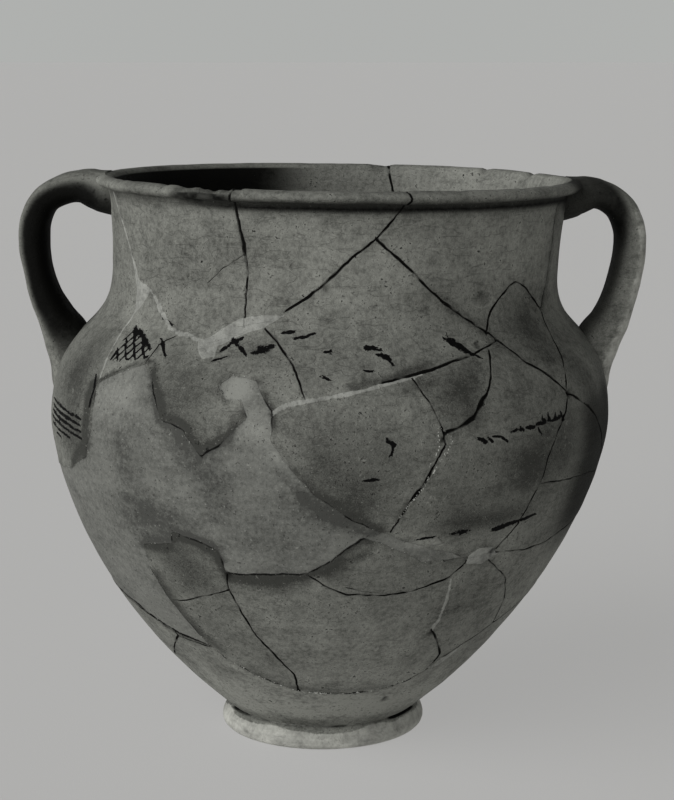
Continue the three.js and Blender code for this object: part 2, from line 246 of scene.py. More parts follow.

# Soft darker or paler areas: azimuth, height, half width and half height in millimetres, amount.
# The pale rows low on the body, at heights 32 to 60, are painted light thrown up from the floor,
# and the pale rows at heights 320 and 322 painted light on the neck.
SHADES = (
    (-26, 217, 22, 9, -0.40), (-27, 200, 34, 8, -0.20), (-41, 203, 16, 22, -0.30),
    (-21, 186, 14, 16, -0.32), (-14, 160, 26, 12, -0.12), (-33, 232, 30, 20, 0.10),
    (-14, 229, 9, 8, 0.30), (-18, 249, 8, 7, 0.85), (-62, 150, 44, 40, 0.08),
    (-34, 168, 30, 14, -0.10), (-30, 244, 23, 22, -0.52), (-36, 262, 10, 9, -0.18),
    (-10, 258, 18, 14, -0.14), (-17, 268, 14, 7, -0.20), (4, 214, 44, 26, -0.40),
    (7, 184, 22, 18, -0.26), (14, 232, 12, 14, 0.12), (26, 246, 16, 16, -0.40),
    (28, 232, 8, 8, -0.20), (26, 180, 26, 24, -0.30), (31, 206, 24, 10, -0.16),
    (37, 195, 22, 18, -0.12), (44, 210, 20, 24, -0.38), (52, 212, 12, 26, -0.36),
    (64, 205, 24, 40, -0.50), (76, 205, 18, 46, -0.60), (-62, 242, 20, 22, -0.34),
    (-45, 238, 18, 14, 0.30), (-88, 266, 13, 13, -0.60), (-31, 353.6, 14, 3.4, -0.90),
    (-80, 357, 16, 6, 0.50), (86, 346, 14, 12, -0.80), (7.8, 278.2, 5, 3.4, -0.22),
    (34, 170, 34, 8, -0.42), (42, 190, 26, 16, -0.26), (20, 158, 15, 4, 0.45),
    (2, 190, 30, 26, -0.20), (6, 118, 40, 10, -0.14), (34, 110, 18, 26, -0.14),
    (-64, 150, 26, 40, -0.08), (37.4, 295.4, 7, 4, -0.26), (10, 96, 50, 22, 0.10),
    (-40, 168, 36, 16, -0.34), (68, 165, 30, 26, -0.40), (60, 256, 20, 22, -0.26),
    (40, 244, 16, 12, -0.14), (46, 322, 34, 22, 0.34), (8, 320, 50, 24, 0.20),
    (50, 274, 17, 26, -0.34), (40, 168, 22, 8, -0.24), (-12, 130, 22, 5, -0.36),
    (-32, 138, 20, 20, -0.44), (0, 19, 60, 4, -0.34), (8, 106, 34, 14, -0.10),
    (2, 140, 12, 6, -0.25), (0, 64, 34, 10, 0.12), (-38, 150, 14, 7, -0.30),
    (-24.5, 152, 8, 6, -0.30), (-30, 112, 22, 18, -0.18), (-30, 88, 16, 12, -0.12),
    (-10, 86, 30, 10, 0.06), (18, 78, 30, 12, 0.04), (-10, 300, 24, 24, 0.04),
    (5, 296, 26, 10, 0.10), (-66, 246, 30, 30, -0.24), (-60, 206, 30, 18, -0.40),
    (-54.6, 232, 5, 20, -0.30), (-72, 232, 16, 16, -0.15), (-50, 40, 60, 20, 0.28),
    (0, 32, 60, 14, 0.60), (40, 40, 44, 20, 0.26), (-55, 330, 20, 16, 0.10),
    (-36, 330, 22, 16, 0.06), (-2, 335, 22, 8, 0.08), (-64, 356, 16, 5, 0.30),
    (-33, 353, 12, 5, -0.35), (22, 354, 40, 4, -0.10), (120, 230, 60, 40, -0.18),
    (160, 120, 60, 30, 0.10), (205, 240, 50, 50, -0.14), (236, 300, 40, 30, 0.10),
    (150, 60, 70, 24, 0.22), (230, 60, 60, 24, 0.20),
)

# Soft darker or paler bands along a line: amount, width in millimetres, azimuths and heights.
SOFT_LINES = (
    (-0.55, 3.2, (-32, 159), (-28, 158.5), (-23, 153.5), (-22, 146)),
    (-0.35, 2.6, (-42, 147), (-34, 151)),
    (-0.50, 4.2, (-20.6, 133), (-10, 134.5), (-4, 137)),
    (-0.45, 3.4, (-1, 142), (3, 147), (8, 153)),
    (-0.40, 4.2, (-34.6, 240), (-32, 229), (-27, 225)),
    (-0.40, 3.2, (-24, 212), (-19, 221), (-17, 232)),
    (-0.45, 5.0, (-4, 188), (2, 176), (9, 167)),
    (-0.30, 4.2, (-9, 205), (-6, 196)),
    (0.25, 2.2, (-10, 213), (-5, 196), (1, 181), (8, 170)),
    (-0.35, 3.4, (-40, 130), (-38, 112), (-34, 92), (-30, 78)),
    (-0.35, 3.0, (-24, 66), (-14, 54), (-2, 50.5), (12, 49.5), (24, 52)),
    (0.30, 2.4, (-30, 66), (-16, 52), (-2, 45), (14, 44)),
    (-0.50, 2.6, (4, 251), (12, 256), (20, 262)),
    (-0.30, 3.2, (14, 249.5), (20, 253)),
    (-0.35, 4.0, (-55, 240), (-54.5, 222), (-54.6, 202)),
    (-0.25, 4.0, (22, 303), (34, 281), (42, 263)),
    (0.30, 3.0, (14, 166), (22, 157), (29, 148.5)),
    (0.22, 6.0, (-7, 198), (-9, 210), (-12, 224)),
    (-0.32, 3.6, (68, 345), (69, 325), (67, 300), (62, 284)),
    (-0.55, 1.5, (-52, 244), (-47, 251.5), (-42, 258), (-39, 258)),
    (-0.60, 2.6, (-38.5, 256), (-35, 240), (-33.6, 230), (-29, 226)),
    (-0.50, 3.0, (-53.5, 243), (-54.6, 224), (-54.4, 204), (-62, 190)),
)

# Rim chips: azimuth, half width in degrees, depth in millimetres.
RIM_CHIPS = (
    (-36, 4.0, 2.2), (-30, 5.0, 2.8), (-25.6, 2.4, 1.9), (-22.6, 1.3, 1.4), (-43, 1.6, 0.8),
    (14.8, 0.8, 0.8), (28, 2.2, 0.5), (47, 1.4, 0.6), (60, 2.6, 0.5), (-62, 3.0, 0.7),
    (118, 3.0, 1.8), (136, 2.0, 1.6), (168, 4.0, 1.5), (211, 2.2, 1.9), (244, 3.0, 1.2),
)

# Chips and pits elsewhere: azimuth, height, radius, depth, how dark.
DENTS = (
    (14.6, 7.6, 4.6, 1.3, 0.22), (26, 38, 3.6, 0.8, 0.8), (50, 9, 6.0, 1.4, 0.12),
    (-19, 248, 4.6, 0.7, 0.0), (21.2, 221, 2.6, 1.2, 0.8), (-48, 4.4, 4.0, 1.2, 0.2),
    (33.4, 270, 2.6, 1.0, 0.7), (-2, 304, 2.6, 0.9, 0.6), (47, 203, 2.0, 0.7, 0.6),
    (54, 238, 3.2, 1.2, 0.9), (37, 147, 3.0, 1.0, 0.8), (-21, 136, 3.0, 1.1, 0.8),
    (29, 92, 3.0, 1.0, 0.8), (150, 12, 5.0, 1.4, 0.3), (205, 260, 4.0, 1.0, 0.4),
    (172, 90, 3.2, 0.9, 0.3), (140, 200, 2.6, 0.8, 0.3),
)

POLE_RADIUS = 6.0       # round hole left at either end of the profile, closed at the end
ROW_GAP = 0.87          # from row to row, as a share of the points' spacing in a row
SHAKE_UP = 0.12         # how far the rows' points are shaken, as shares of the spacing
SHAKE_ROUND = 0.14
LINE_STEP = 1.9         # from point to point along a line
EDGE_FADE = 0.6         # from a line's edge to the row of points outside it
FILL_LINE = 0.6         # half width of the joint round the plaster
GROOVE = 1.2            # depth of an open joint
RIM = 359.0             # lines that begin or end above this go over the rim
THROUGH = 70.0          # open joints above this show inside too
FRONT = 100.0           # azimuths up to this either way have the front's wear
LINE_REACH = 9.0        # lines are felt within this distance
FAR = 99.0              # and count as this far away beyond it
FILL_CLEAR = 1.0        # lines stop this far short of the plaster's edge
LINE_CLEAR = 0.5        # a line's side points keep this far from other lines
FOLD_CLEAR = 0.15       # and may come this far inside their own line where it bends
ROW_CLEAR = 0.9         # the rows' points keep this far from the lines' side points
SHERD_CLEAR = 1.2       # points within this distance of a joint belong to no sherd
POLE_REACH = 20.0       # holes this near the axis are closed by a fan
SECTION_POWER = 0.8     # makes the handles' sections a little square
HANDLE_TOP = HEIGHT - 0.25
FEWEST_WALL_FACES = 10000
FEWEST_FILL_FACES = 1000
SHERD_POINTS = 60       # sherds with fewer points than this stay level and plain
SHERD_LIFT = (-0.34, 0.2)
SHERD_SHADE = (-0.08, 0.08)
FILL_LIFT = -0.45

# Where random courses begin: each line's own numbers follow, SEED_STEP apart.
SEED_STEP = 5
LINE_SEED, INSIDE_SEED, OVAL_SEED = 10, 900, 1900
SMEAR_SEED, FILL_SEED, SOFT_SEED = 2000, 3000, 4000
ROW_SEED, SHERD_SEED = 3, 12

# ---- numbers and noise


def steps_of(noise_seed, places, spacing):
    """Wandering numbers from -1 to 1: random values every spacing, straight lines between."""
    random = np.random.default_rng(noise_seed)
    count = int(places[-1] / spacing) + 3
    return np.interp(places, np.arange(count) * spacing, random.uniform(-1, 1, count))


def cloud(points, size, noise_seed):
    """Smooth noise from -1 to 1: random values at the corners of cubes, blended by 3ss - 2sss."""
    table = np.random.default_rng(noise_seed).uniform(-1, 1, (32, 32, 32))
    place = points / size + 500.0
    low = np.floor(place).astype(int)
    share = place - low
    share = share * share * (3 - 2 * share)
    total = np.zeros(len(points))
    for corner in np.ndindex(2, 2, 2):
        weight = np.where(np.array(corner) == 1, share, 1 - share).prod(axis=1)
        i, j, k = ((low + corner) % 32).T
        total += weight * table[i, j, k]
    return total


def bell(value, middle, width, power=2):
    """1 at the middle and less round it: e to the power of -((value - middle) / width)^power."""
    return np.exp(-((value - middle) / width) ** power)


def lengths(steps):
    """The steps' lengths, added up from 0 at the first point."""
    return np.concatenate([[0], np.cumsum(steps)])


def unit(vectors):
    """Each row made one long."""
    return vectors / (np.hypot(*vectors.T)[:, None] + 1e-9)


def left_of(vectors):
    """Each row turned a quarter to the left."""
    return np.stack([-vectors[:, 1], vectors[:, 0]], axis=1)


def eased(value):
    """0 below 0, 1 above 1 and 3ss - 2sss between."""
    value = np.clip(value, 0, 1)
    return value * value * (3 - 2 * value)


def cubic(start, first, second, end, steps=120):
    """Cubic curve: (1-t)^3 start + 3 (1-t)^2 t first + 3 (1-t) t^2 second + t^3 end."""
    t = np.linspace(0, 1, steps + 1)[:, None]
    weights = ((1 - t) ** 3, 3 * (1 - t) ** 2 * t, 3 * (1 - t) * t ** 2, t ** 3)
    return sum(w * np.array(p, float) for w, p in zip(weights, (start, first, second, end)))


def leaned(points):
    """The krater's lean: x moves by a t + b t^2 + c and z by -d x t, with t = z / HEIGHT."""
    x, y, z = points.T
    t = z / HEIGHT
    drift = LEAN_LINEAR * t + LEAN_SQUARE * t * t + FOOT_OFFSET
    return np.stack([x + drift, y, z - RIM_DIP * x * t], axis=1)


def inside_outline(u, v, outline):
    """True where a ray from the point crosses the closed outline an odd number of times."""
    inside = np.zeros(len(u), bool)
    for (u0, v0), (u1, v1) in zip(outline, np.roll(outline, -1, axis=0)):
        spans = (v0 > v) != (v1 > v)
        crossing = u0 + (v - v0) / (v1 - v0 + 1e-12) * (u1 - u0)
        inside ^= spans & (u < crossing)
    return inside


# ---- profile of the wall


class Profile:
    """Radius and height along the wall's section, from under the foot round to the floor.

    A place on it is v, the sum of each step's length times SPREAD / radius. With azimuth times
    SPREAD as u, the flat sheet (u, v) is stretched alike in both directions everywhere, and
    lengths on the clay are radius / SPREAD of those on the sheet.
    """

    def __init__(self, parts):
        joined = np.array(parts[0][0][:1], float)
        self.stretches = []
        for part, spacing in parts:
            joined = np.concatenate([joined, np.array(part, float)[1:]])
            self.stretches.append((len(joined) - len(part), len(joined) - 1, spacing))
        self.radius, self.height = joined.T
        step = np.diff(joined, axis=0)
        length = np.hypot(*step.T)
        middle = (self.radius[1:] + self.radius[:-1]) / 2
        self.place = lengths(length * SPREAD / middle)
        self.along = lengths(length)
        facing = unit(-left_of(step))
        self.facing = unit(np.concatenate([facing[:1], facing[:-1] + facing[1:], facing[-1:]]))
        self.crest = int(np.argmax(self.height))
        self.contact = int(np.flatnonzero(self.height <= 1e-6)[-1])

    def at(self, place, values):
        """The profile's values (radius, height and so on) at places on it."""
        return np.interp(place, self.place, values)

    def outside(self, height):
        """Places on the outside of the wall at these heights."""
        part = slice(self.contact, self.crest + 1)
        return np.interp(height, self.height[part], self.place[part])

    def inside(self, height):
        """Places on the inside of the wall at these heights."""
        part = slice(self.crest, None)
        return np.interp(height, self.height[part][::-1], self.place[part][::-1])

    def rows(self):
        """Place, spacing and whether it is a corner, for every row of points."""
        found = [(0.0, self.stretches[0][2], True)]
        for first, last, spacing in self.stretches:
            span = self.along[last] - self.along[first]
            count = max(1, round(span / (ROW_GAP * spacing)))
            along = self.along[first] + span * np.arange(1, count + 1) / count
            places = np.interp(along, self.along, self.place)
            found += [(place, spacing, i == count - 1) for i, place in enumerate(places)]
        return found


def whole_body():
    """The outside from the foot to the widest place, the neck's waist and the lip."""
    rise = (BODY_START[0] + BODY_PULL * math.cos(BODY_RISE),
            BODY_START[1] + BODY_PULL * math.sin(BODY_RISE))
    return np.concatenate([
        cubic(BODY_START, rise, (WIDEST[0], 184.1), WIDEST),
        cubic(WIDEST, (WIDEST[0], 271.9), (WAIST[0], 257.6), WAIST)[1:],
        cubic(WAIST, (WAIST[0], 333.7), (145.5, 346), NECK_TOP)[1:],
    ])


def moved_in(points, depth):
    """The points pushed to the left of their line by the depth: p + depth (-dz, dr)."""
    return points + depth * left_of(unit(np.gradient(points, axis=0)))


def lip_arc(start, end, steps=60):
    """The lip's bead: middle + (half width cos a, half height sin a)."""
    angle = np.radians(np.linspace(start, end, steps + 1))
    return np.stack([LIP_MIDDLE[0] + LIP_HALF_WIDTH * np.cos(angle),
                     LIP_MIDDLE[1] + LIP_HALF_HEIGHT * np.sin(angle)], axis=1)


@functools.cache
def wall_profile():
    """The whole section, each stretch of it with the spacing of its points."""
    body = whole_body()
    inner = moved_in(body, WALL)[::-1]
    pull = inner[-1, 0] - (inner[-1, 1] - FLOOR_HEIGHT) / math.tan(BODY_RISE)
    t = np.linspace(0, 1, 61)[:, None]
    floor = ((1 - t) ** 2 * inner[-1] + 2 * (1 - t) * t * np.array([pull, FLOOR_HEIGHT])
             + t ** 2 * np.array([0, FLOOR_HEIGHT]))
    floor = floor[floor[:, 0] > POLE_RADIUS]
    foot = cubic((FOOT_CONTACT, 0), (67.5, 1), (69, 8.5), (62, 14.2), 60)
    recess = (FOOT_RECESS - 2, RECESS_DEPTH)
    close = 40              # points of the inner curve that are set closer, below the lip
    return Profile((
        ([(POLE_RADIUS, RECESS_DEPTH), recess], 8.0),
        ([recess, (FOOT_RECESS, 0)], 2.6),
        ([(FOOT_RECESS, 0), (FOOT_CONTACT, 0)], 3.4),
        (foot, 2.2),
        ([foot[-1], FOOT_GROOVE], 1.0),
        ([FOOT_GROOVE, body[2]], 1.6),
        (body[2:], 3.3),
        ([body[-1], *lip_arc(-70, 90)], 1.9),
        (lip_arc(90, 180), 1.9),
        ([lip_arc(180, 181, 1)[0], *inner[:close]], 4.0),
        (inner[close - 1:], 6.5),
        ([inner[-1], *floor[1:]], 8.0),
    ))


# ---- lines on the sheet


class Line:
    """One joint, crack, mend or painted stroke on the sheet, with its own ragged course."""

    def __init__(self, kind, half_width, course, noise_seed, ragged=1.0, closed=False):
        profile = wall_profile()
        self.kind = kind
        course = np.array(course, float)
        scale = profile.at(course[:, 1], profile.radius) / SPREAD
        step = np.hypot(*np.diff(course, axis=0).T) * (scale[1:] + scale[:-1]) / 2
        along = lengths(step)
        count = max(2, int(round(along[-1] / LINE_STEP)) + 1)
        places = np.linspace(0, along[-1], count)
        centre = np.stack([np.interp(places, along, part) for part in course.T], axis=1)
        radius = profile.at(centre[:, 1], profile.radius)
        normal = left_of(unit(np.gradient(centre, axis=0)))
        sway = (0.5 * steps_of(noise_seed, places, 11.0)
                + 0.3 * steps_of(noise_seed + 1, places, 2.6))
        ends = np.minimum(places, places[-1] - places)
        sway *= ragged * eased(ends / 5.0)
        self.centre = centre + normal * (sway * SPREAD / radius)[:, None]
        swell = 1 + (0.3 + 0.2 * ragged) * steps_of(noise_seed + 2, places, 6.0)
        taper = 1.0 if closed else 0.55 + 0.45 * eased(ends / 4.0)
        self.half_width = half_width * swell * taper
        self.normal = normal * (SPREAD / radius)[:, None]

    def side_rows(self):
        """Points along the line's two edges and just outside them."""
        rows = []
        for side in (-1, 1):
            for reach in (self.half_width, self.half_width + EDGE_FADE):
                rows.append(self.centre + side * self.normal * reach[:, None])
        return np.concatenate(rows)


def course_of(corners, side):
    """Azimuths and heights to places on the sheet, on the outside or inside of the wall."""
    azimuth, height = np.array(corners, float).T
    return np.stack([np.radians(azimuth) * SPREAD, side(height)], axis=1)


def hatch_strokes(field):
    """Parallel strokes at both slopes, each cut to the part of it that is in the field."""
    edge = np.array(field["edge"], float)
    middle = edge.mean(axis=0)
    across = math.radians(1) * 155      # millimetres per degree, near enough
    flat = (edge - middle) * (across, 1)
    reach = np.abs(flat).max() * 1.5
    strokes = []
    for slope in np.radians(field["slopes"]):
        along = np.array([math.cos(slope), math.sin(slope)])
        normal = np.array([-along[1], along[0]])
        for offset in np.arange(-reach, reach, field["step"]):
            points = normal * offset + along * np.linspace(-reach, reach, 160)[:, None]
            kept = points[inside_outline(points[:, 0], points[:, 1], flat)]
            if len(kept) > 4:
                ends = np.stack([kept[0], kept[-1]]) / (across, 1) + middle
                strokes.append(("stroke", field["half_width"], *map(tuple, ends)))
    return strokes


@functools.cache
def all_lines():
    """Every line: the wall's own, those carried through to the inside, and outlines."""
    profile = wall_profile()
    lines = []
    given = [*LINES, *(("stroke", *stroke) for stroke in STROKES)]
    for field in HATCHED_FIELDS:
        given += hatch_strokes(field)
    for index, (kind, half_width, *corners) in enumerate(given):
        course = course_of(corners, profile.outside)
        through = [corner for corner in corners if corner[1] > THROUGH]
        if kind == "open" and len(through) > 1:
            inner = course_of(through, profile.inside)
            if corners[0][1] > RIM:
                course = np.concatenate([inner[::-1], course])
            elif corners[-1][1] > RIM:
                course = np.concatenate([course, inner[::-1]])
            else:
                lines.append(Line("tight", 0.5, inner, INSIDE_SEED + SEED_STEP * index))
        ragged = 0.5 if kind == "stroke" else 1.0
        lines.append(Line(kind, half_width, course, LINE_SEED + SEED_STEP * index, ragged))
    turn = np.linspace(0, 2 * math.pi, 25)
    for place, level, wide, high in OVALS:
        corners = np.stack([place + wide * np.cos(turn), level + high * np.sin(turn)], axis=1)
        course = course_of(corners, profile.outside)
        lines.append(Line("oval", 0.3, course, OVAL_SEED, 0.3, True))
    for index, outline in enumerate(SMEARS):
        course = course_of((*outline, outline[0]), profile.outside)
        lines.append(Line("outline", 0.3, course, SMEAR_SEED + SEED_STEP * index, 0.8, True))
    return lines


@functools.cache
def fill_loops():
    """The plaster fill's ragged edge on the outside and, point for point, on the inside."""
    edge = np.array((*FILL_EDGE, FILL_EDGE[0]), float)
    across = math.radians(1) * 165      # millimetres per degree, near enough
    flat = edge * (across, 1)
    along = lengths(np.hypot(*np.diff(flat, axis=0).T))
    places = np.linspace(0, along[-1], int(along[-1] / LINE_STEP))[:-1]
    flat = np.stack([np.interp(places, along, part) for part in flat.T], axis=1)
    normal = left_of(unit(np.roll(flat, -1, axis=0) - np.roll(flat, 1, axis=0)))
    sway = 0.7 * steps_of(71, places, 8.0) + 0.3 * steps_of(72, places, 2.7)
    flat += normal * sway[:, None]
    corners = flat / (across, 1)
    profile = wall_profile()
    return course_of(corners, profile.outside), course_of(corners, profile.inside)


@functools.cache
def fill_edges():
    """The joint round the plaster, outside and inside, as closed lines."""
    return [Line("fill", FILL_LINE, np.concatenate([loop, loop[:1]]), FILL_SEED, 0.0, True)
            for loop in fill_loops()]


def distances(points, lines):
    """Each point's distance in millimetres from each line, and that line's half width there."""
    profile = wall_profile()
    scale = profile.at(points[:, 1], profile.radius) / SPREAD
    distance = np.full((len(lines), len(points)), FAR, np.float32)
    half = np.ones((len(lines), len(points)), np.float32)
    reach = (LINE_REACH / scale)[:, None]
    for row, line in enumerate(lines):
        starts = line.centre[:-1]
        steps = np.diff(line.centre, axis=0)
        turns = np.round((starts[:, 0].mean() - points[:, 0]) / PERIOD)
        shifted = np.stack([points[:, 0] + turns * PERIOD, points[:, 1]], axis=1)
        near = np.flatnonzero(((shifted > line.centre.min(axis=0) - reach)
                               & (shifted < line.centre.max(axis=0) + reach)).all(axis=1))
        if not len(near):
            continue
        for chosen in np.array_split(near, len(near) // 4000 + 1):
            apart = shifted[chosen][:, None] - starts
            share = np.clip((apart * steps).sum(2) / ((steps ** 2).sum(1) + 1e-9), 0, 1)
            gap = np.hypot(*(apart - share[..., None] * steps).transpose(2, 0, 1))
            nearest = gap.argmin(axis=1)
            spot = np.arange(len(chosen))
            distance[row, chosen] = gap[spot, nearest] * scale[chosen]
            part = share[spot, nearest]
            widths = line.half_width
            half[row, chosen] = widths[nearest] * (1 - part) + widths[nearest + 1] * part
    return distance, half


# ---- the flat sheet


def background_points():
    """Staggered rows, each a little shaken so that no grid shows."""
    profile = wall_profile()
    random = np.random.default_rng(ROW_SEED)
    rows = []
    found = profile.rows()
    for index, (place, spacing, corner) in enumerate(found):
        radius = float(profile.at(place, profile.radius))
        count = max(14, round(2 * math.pi * radius / spacing))
        shake = spacing * SPREAD / radius
        u = (np.arange(count) + 0.5 * (index % 2)) / count * PERIOD - PERIOD / 2
        v = np.full(count, place)
        if not corner:
            v += random.uniform(-SHAKE_UP, SHAKE_UP, count) * shake
        if 0 < index < len(found) - 1:
            u += random.uniform(-SHAKE_ROUND, SHAKE_ROUND, count) * shake
        rows.append(np.stack([u, v], axis=1))
    return np.concatenate(rows)


@functools.cache
def flat_sheet():
    """The joined-up sheet: points, triangles, which are plaster, and a fill loop's length."""
    lines = all_lines()
    loops = fill_loops()
    edges = fill_edges()
    count = len(loops[0])
    ring = np.arange(count)
    points = [np.concatenate(loops)]
    joins = [np.stack([ring, (ring + 1) % count], axis=1) + shift for shift in (0, count)]
    total = 2 * count
    for line in lines:
        apart = distances(line.centre, edges)[0].min(axis=0)
        in_fill = sum(inside_outline(*line.centre.T, loop) for loop in loops) > 0
        keep = (apart > FILL_CLEAR) & ~in_fill
        if keep.sum() < 2:
            continue
        number = np.cumsum(keep) - 1 + total
        starts = np.flatnonzero(keep[:-1] & keep[1:])
        points.append(line.centre[keep])
        joins.append(np.stack([number[starts], number[starts + 1]], axis=1))
        total += int(keep.sum())
    drawn = lines + edges
    for own, line in enumerate(drawn):
        side = line.side_rows()
        gap = np.subtract(*distances(side, drawn))
        others = np.delete(gap, own, axis=0).min(axis=0)
        points.append(side[(gap[own] > -FOLD_CLEAR) & (others > LINE_CLEAR)])
    rows = background_points()
    gap = np.subtract(*distances(rows, drawn)).min(axis=0)
    points = np.concatenate([*points, rows[gap > EDGE_FADE + ROW_CLEAR]])
    points[:, 0] = (points[:, 0] + PERIOD / 2) % PERIOD - PERIOD / 2
    points[:, 1] = np.clip(points[:, 1], 0, wall_profile().place[-1])
    joins = np.concatenate(joins)
    joins = joins[np.abs(points[joins[:, 0], 0] - points[joins[:, 1], 0]) < PERIOD / 2]
    return triangles_of(points, joins, count)


def triangles_of(points, joins, loop_count):
    """Delaunay triangles with the given edges kept, closed across the sheet's left and right.

    Points near either side are repeated beyond the other one. Of the triangles found, those whose
    middle is on the sheet are kept, and the repeated points are given back their own numbers.
    """
    margin = 60.0           # wider than any triangle
    own = np.arange(len(points))
    left = own[points[:, 0] < -PERIOD / 2 + margin]
    right = own[points[:, 0] > PERIOD / 2 - margin]
    wide = np.concatenate([points, points[left] + (PERIOD, 0), points[right] - (PERIOD, 0)])
    own = np.concatenate([own, left, right])
    found = delaunay_2d_cdt(wide.tolist(), joins.tolist(), [], 0, 1e-4)
    places = np.array([tuple(v) for v in found[0]])
    faces = np.array(found[2])
    source = np.array([ids[0] if ids else -1 for ids in found[3]])
    extra = np.flatnonzero(source < 0)
    numbers = own[source]
    numbers[extra] = len(points) + np.arange(len(extra))
    points = np.concatenate([points, places[extra]])
    middle = places[faces].mean(axis=1)
    faces = faces[(middle[:, 0] >= -PERIOD / 2) & (middle[:, 0] < PERIOD / 2)]
    a, b, c = places[faces].transpose(1, 0, 2)
    area = (b - a)[:, 0] * (c - a)[:, 1] - (b - a)[:, 1] * (c - a)[:, 0]
    faces = np.where(area[:, None] > 0, faces, faces[:, ::-1])
    faces = faces[np.abs(area) > 1e-7]
    middle = places[faces].mean(axis=1)
    loops = points[:loop_count], points[loop_count:2 * loop_count]
    plaster = inside_outline(*middle.T, loops[0]) | inside_outline(*middle.T, loops[1])
    faces = numbers[faces]
    whole = (faces != np.roll(faces, 1, axis=1)).all(axis=1)
    return points, faces[whole], plaster[whole], loop_count


def sherd_numbers(count, faces, wall):
    """Numbers joined across every edge that has no joint at either end, lowest number first."""
    number = np.arange(count)
    pairs = np.concatenate([faces[:, :2], faces[:, 1:], faces[:, ::2]])
    pairs = pairs[~wall[pairs].any(axis=1)]
    while True:
        lowest = np.minimum(number[pairs[:, 0]], number[pairs[:, 1]])
        before = number.copy()
        np.minimum.at(number, pairs[:, 0], lowest)
        np.minimum.at(number, pairs[:, 1], lowest)
        number = number[number]
        if np.array_equal(before, number):
            return number


# ---- relief and wear


class Places:
    """Where the sheet's points are: on the sheet, round the axis and in space."""

    def __init__(self, points):
        profile = wall_profile()
        self.u, self.v = points.T
        self.azimuth = self.u / SPREAD
        self.turned = np.degrees(self.azimuth)
        self.radius = profile.at(self.v, profile.radius)
        self.height = profile.at(self.v, profile.height)
        facing = np.stack([profile.at(self.v, part) for part in profile.facing.T], axis=1)
        around = np.stack([np.sin(self.azimuth), -np.cos(self.azimuth)], axis=1)
        self.still = np.concatenate([around * self.radius[:, None], self.height[:, None]], axis=1)
        self.outward = np.concatenate([around * facing[:, :1], facing[:, 1:]], axis=1)
        self.outside = self.v <= profile.place[profile.crest]
        self.underneath = self.v < profile.place[profile.contact] + 1e-6
        self.in_front = np.abs(self.turned) < FRONT

    def cloud(self, size, noise_seed):
        """Smooth noise at the points, before the relief moves them."""
        return cloud(self.still, size, noise_seed)

    def away(self, azimuth, height):
        """Millimetres round and up from a place on the clay."""
        return (self.azimuth - math.radians(azimuth)) * self.radius, self.height - height


class Drawn:
    """How near each point is to every line, gathered by kind of line."""

    def __init__(self, points):
        lines = all_lines() + fill_edges()
        self.kinds = np.array([line.kind for line in lines])
        self.distance, self.half = distances(points, lines)
        edge = (self.distance - 0.6 * self.half) / (0.5 * self.half + 0.45)
        self.near = np.clip(1 - edge, 0, 1)
        self.dip = np.clip(1 - self.distance / self.half, 0, 1)
        self.crumbs = bell(self.distance, 0, 0.6 * self.half + 0.6)

    def most(self, values, *kinds):
        """The highest value that any line of these kinds gives."""
        return values[np.isin(self.kinds, kinds)].max(axis=0)

    def depth(self):
        """How deep the lines are cut in."""
        return (GROOVE * self.most(self.dip, "open") + 0.55 * self.most(self.dip, "tight")
                + 0.5 * self.most(self.dip, "fill"))

    def between_sherds(self):
        """True near the lines that part one sherd from the next."""
        crossing = np.isin(self.kinds, ("open", "tight", "fill"))
        return ((self.distance - self.half)[crossing] < SHERD_CLEAR).any(axis=0)


def joints_and_groove_shade_of(at, drawn, patchy):
    """How much each point is dark joint, patchy by the plaster, and painted shade in the foot's
    groove.
    """
    joint_and_shade = np.maximum(drawn.most(drawn.near, "open"), 0.8 * drawn.most(drawn.near, "tight"))
    joint_and_shade = np.maximum(joint_and_shade, 0.85 * patchy * drawn.most(drawn.near, "fill"))
    joint_and_shade = joint_and_shade * np.clip(0.92 + 0.55 * at.cloud(5, 33), 0.35, 1.15)
    # Painted shade: the joint colour laid in the groove where the foot meets the body.
    groove_painted_shade = bell(at.height, FOOT_GROOVE[1], 0.9) * at.outside * (at.radius < 64)
    return np.maximum(joint_and_shade, groove_painted_shade * np.clip(0.55 + 1.0 * at.cloud(12, 34), 0.0, 0.9))


def sherds(faces, blocked):
    """Each sherd's own small lift and shade."""
    number = sherd_numbers(len(blocked), faces, blocked)
    names, member, size = np.unique(number, return_inverse=True, return_counts=True)
    random = np.random.default_rng(SHERD_SEED)
    large = size > SHERD_POINTS
    lift = np.where(large, random.uniform(*SHERD_LIFT, len(names)), 0)[member]
    shade = np.where(large, random.uniform(*SHERD_SHADE, len(names)), 0)[member]
    return lift, shade


def chips_and_dents(at):
    """How deep the chips of the rim and the dents elsewhere are, and how dark the dents."""
    rough = at.cloud(3.4, 21)
    chip, dent, dark = np.zeros((3, len(rough)))
    for azimuth, wide, cut in RIM_CHIPS:
        across = np.abs(at.turned - azimuth) / wide
        chip = np.maximum(chip, cut * eased(1.25 * (1 - across)))
    chip *= eased((at.height - NECK_TOP[1]) / 3.0) * (0.75 + 0.35 * rough)
    for azimuth, height, size, cut, amount in DENTS:
        gap = np.hypot(*at.away(azimuth, height)) * (1 + 0.25 * rough) + FAR * ~at.outside
        dent += cut * eased(1.4 * (1 - gap / size))
        dark = np.maximum(dark, amount * eased(1.6 * (1 - gap / size)))
    return chip, dent, dark


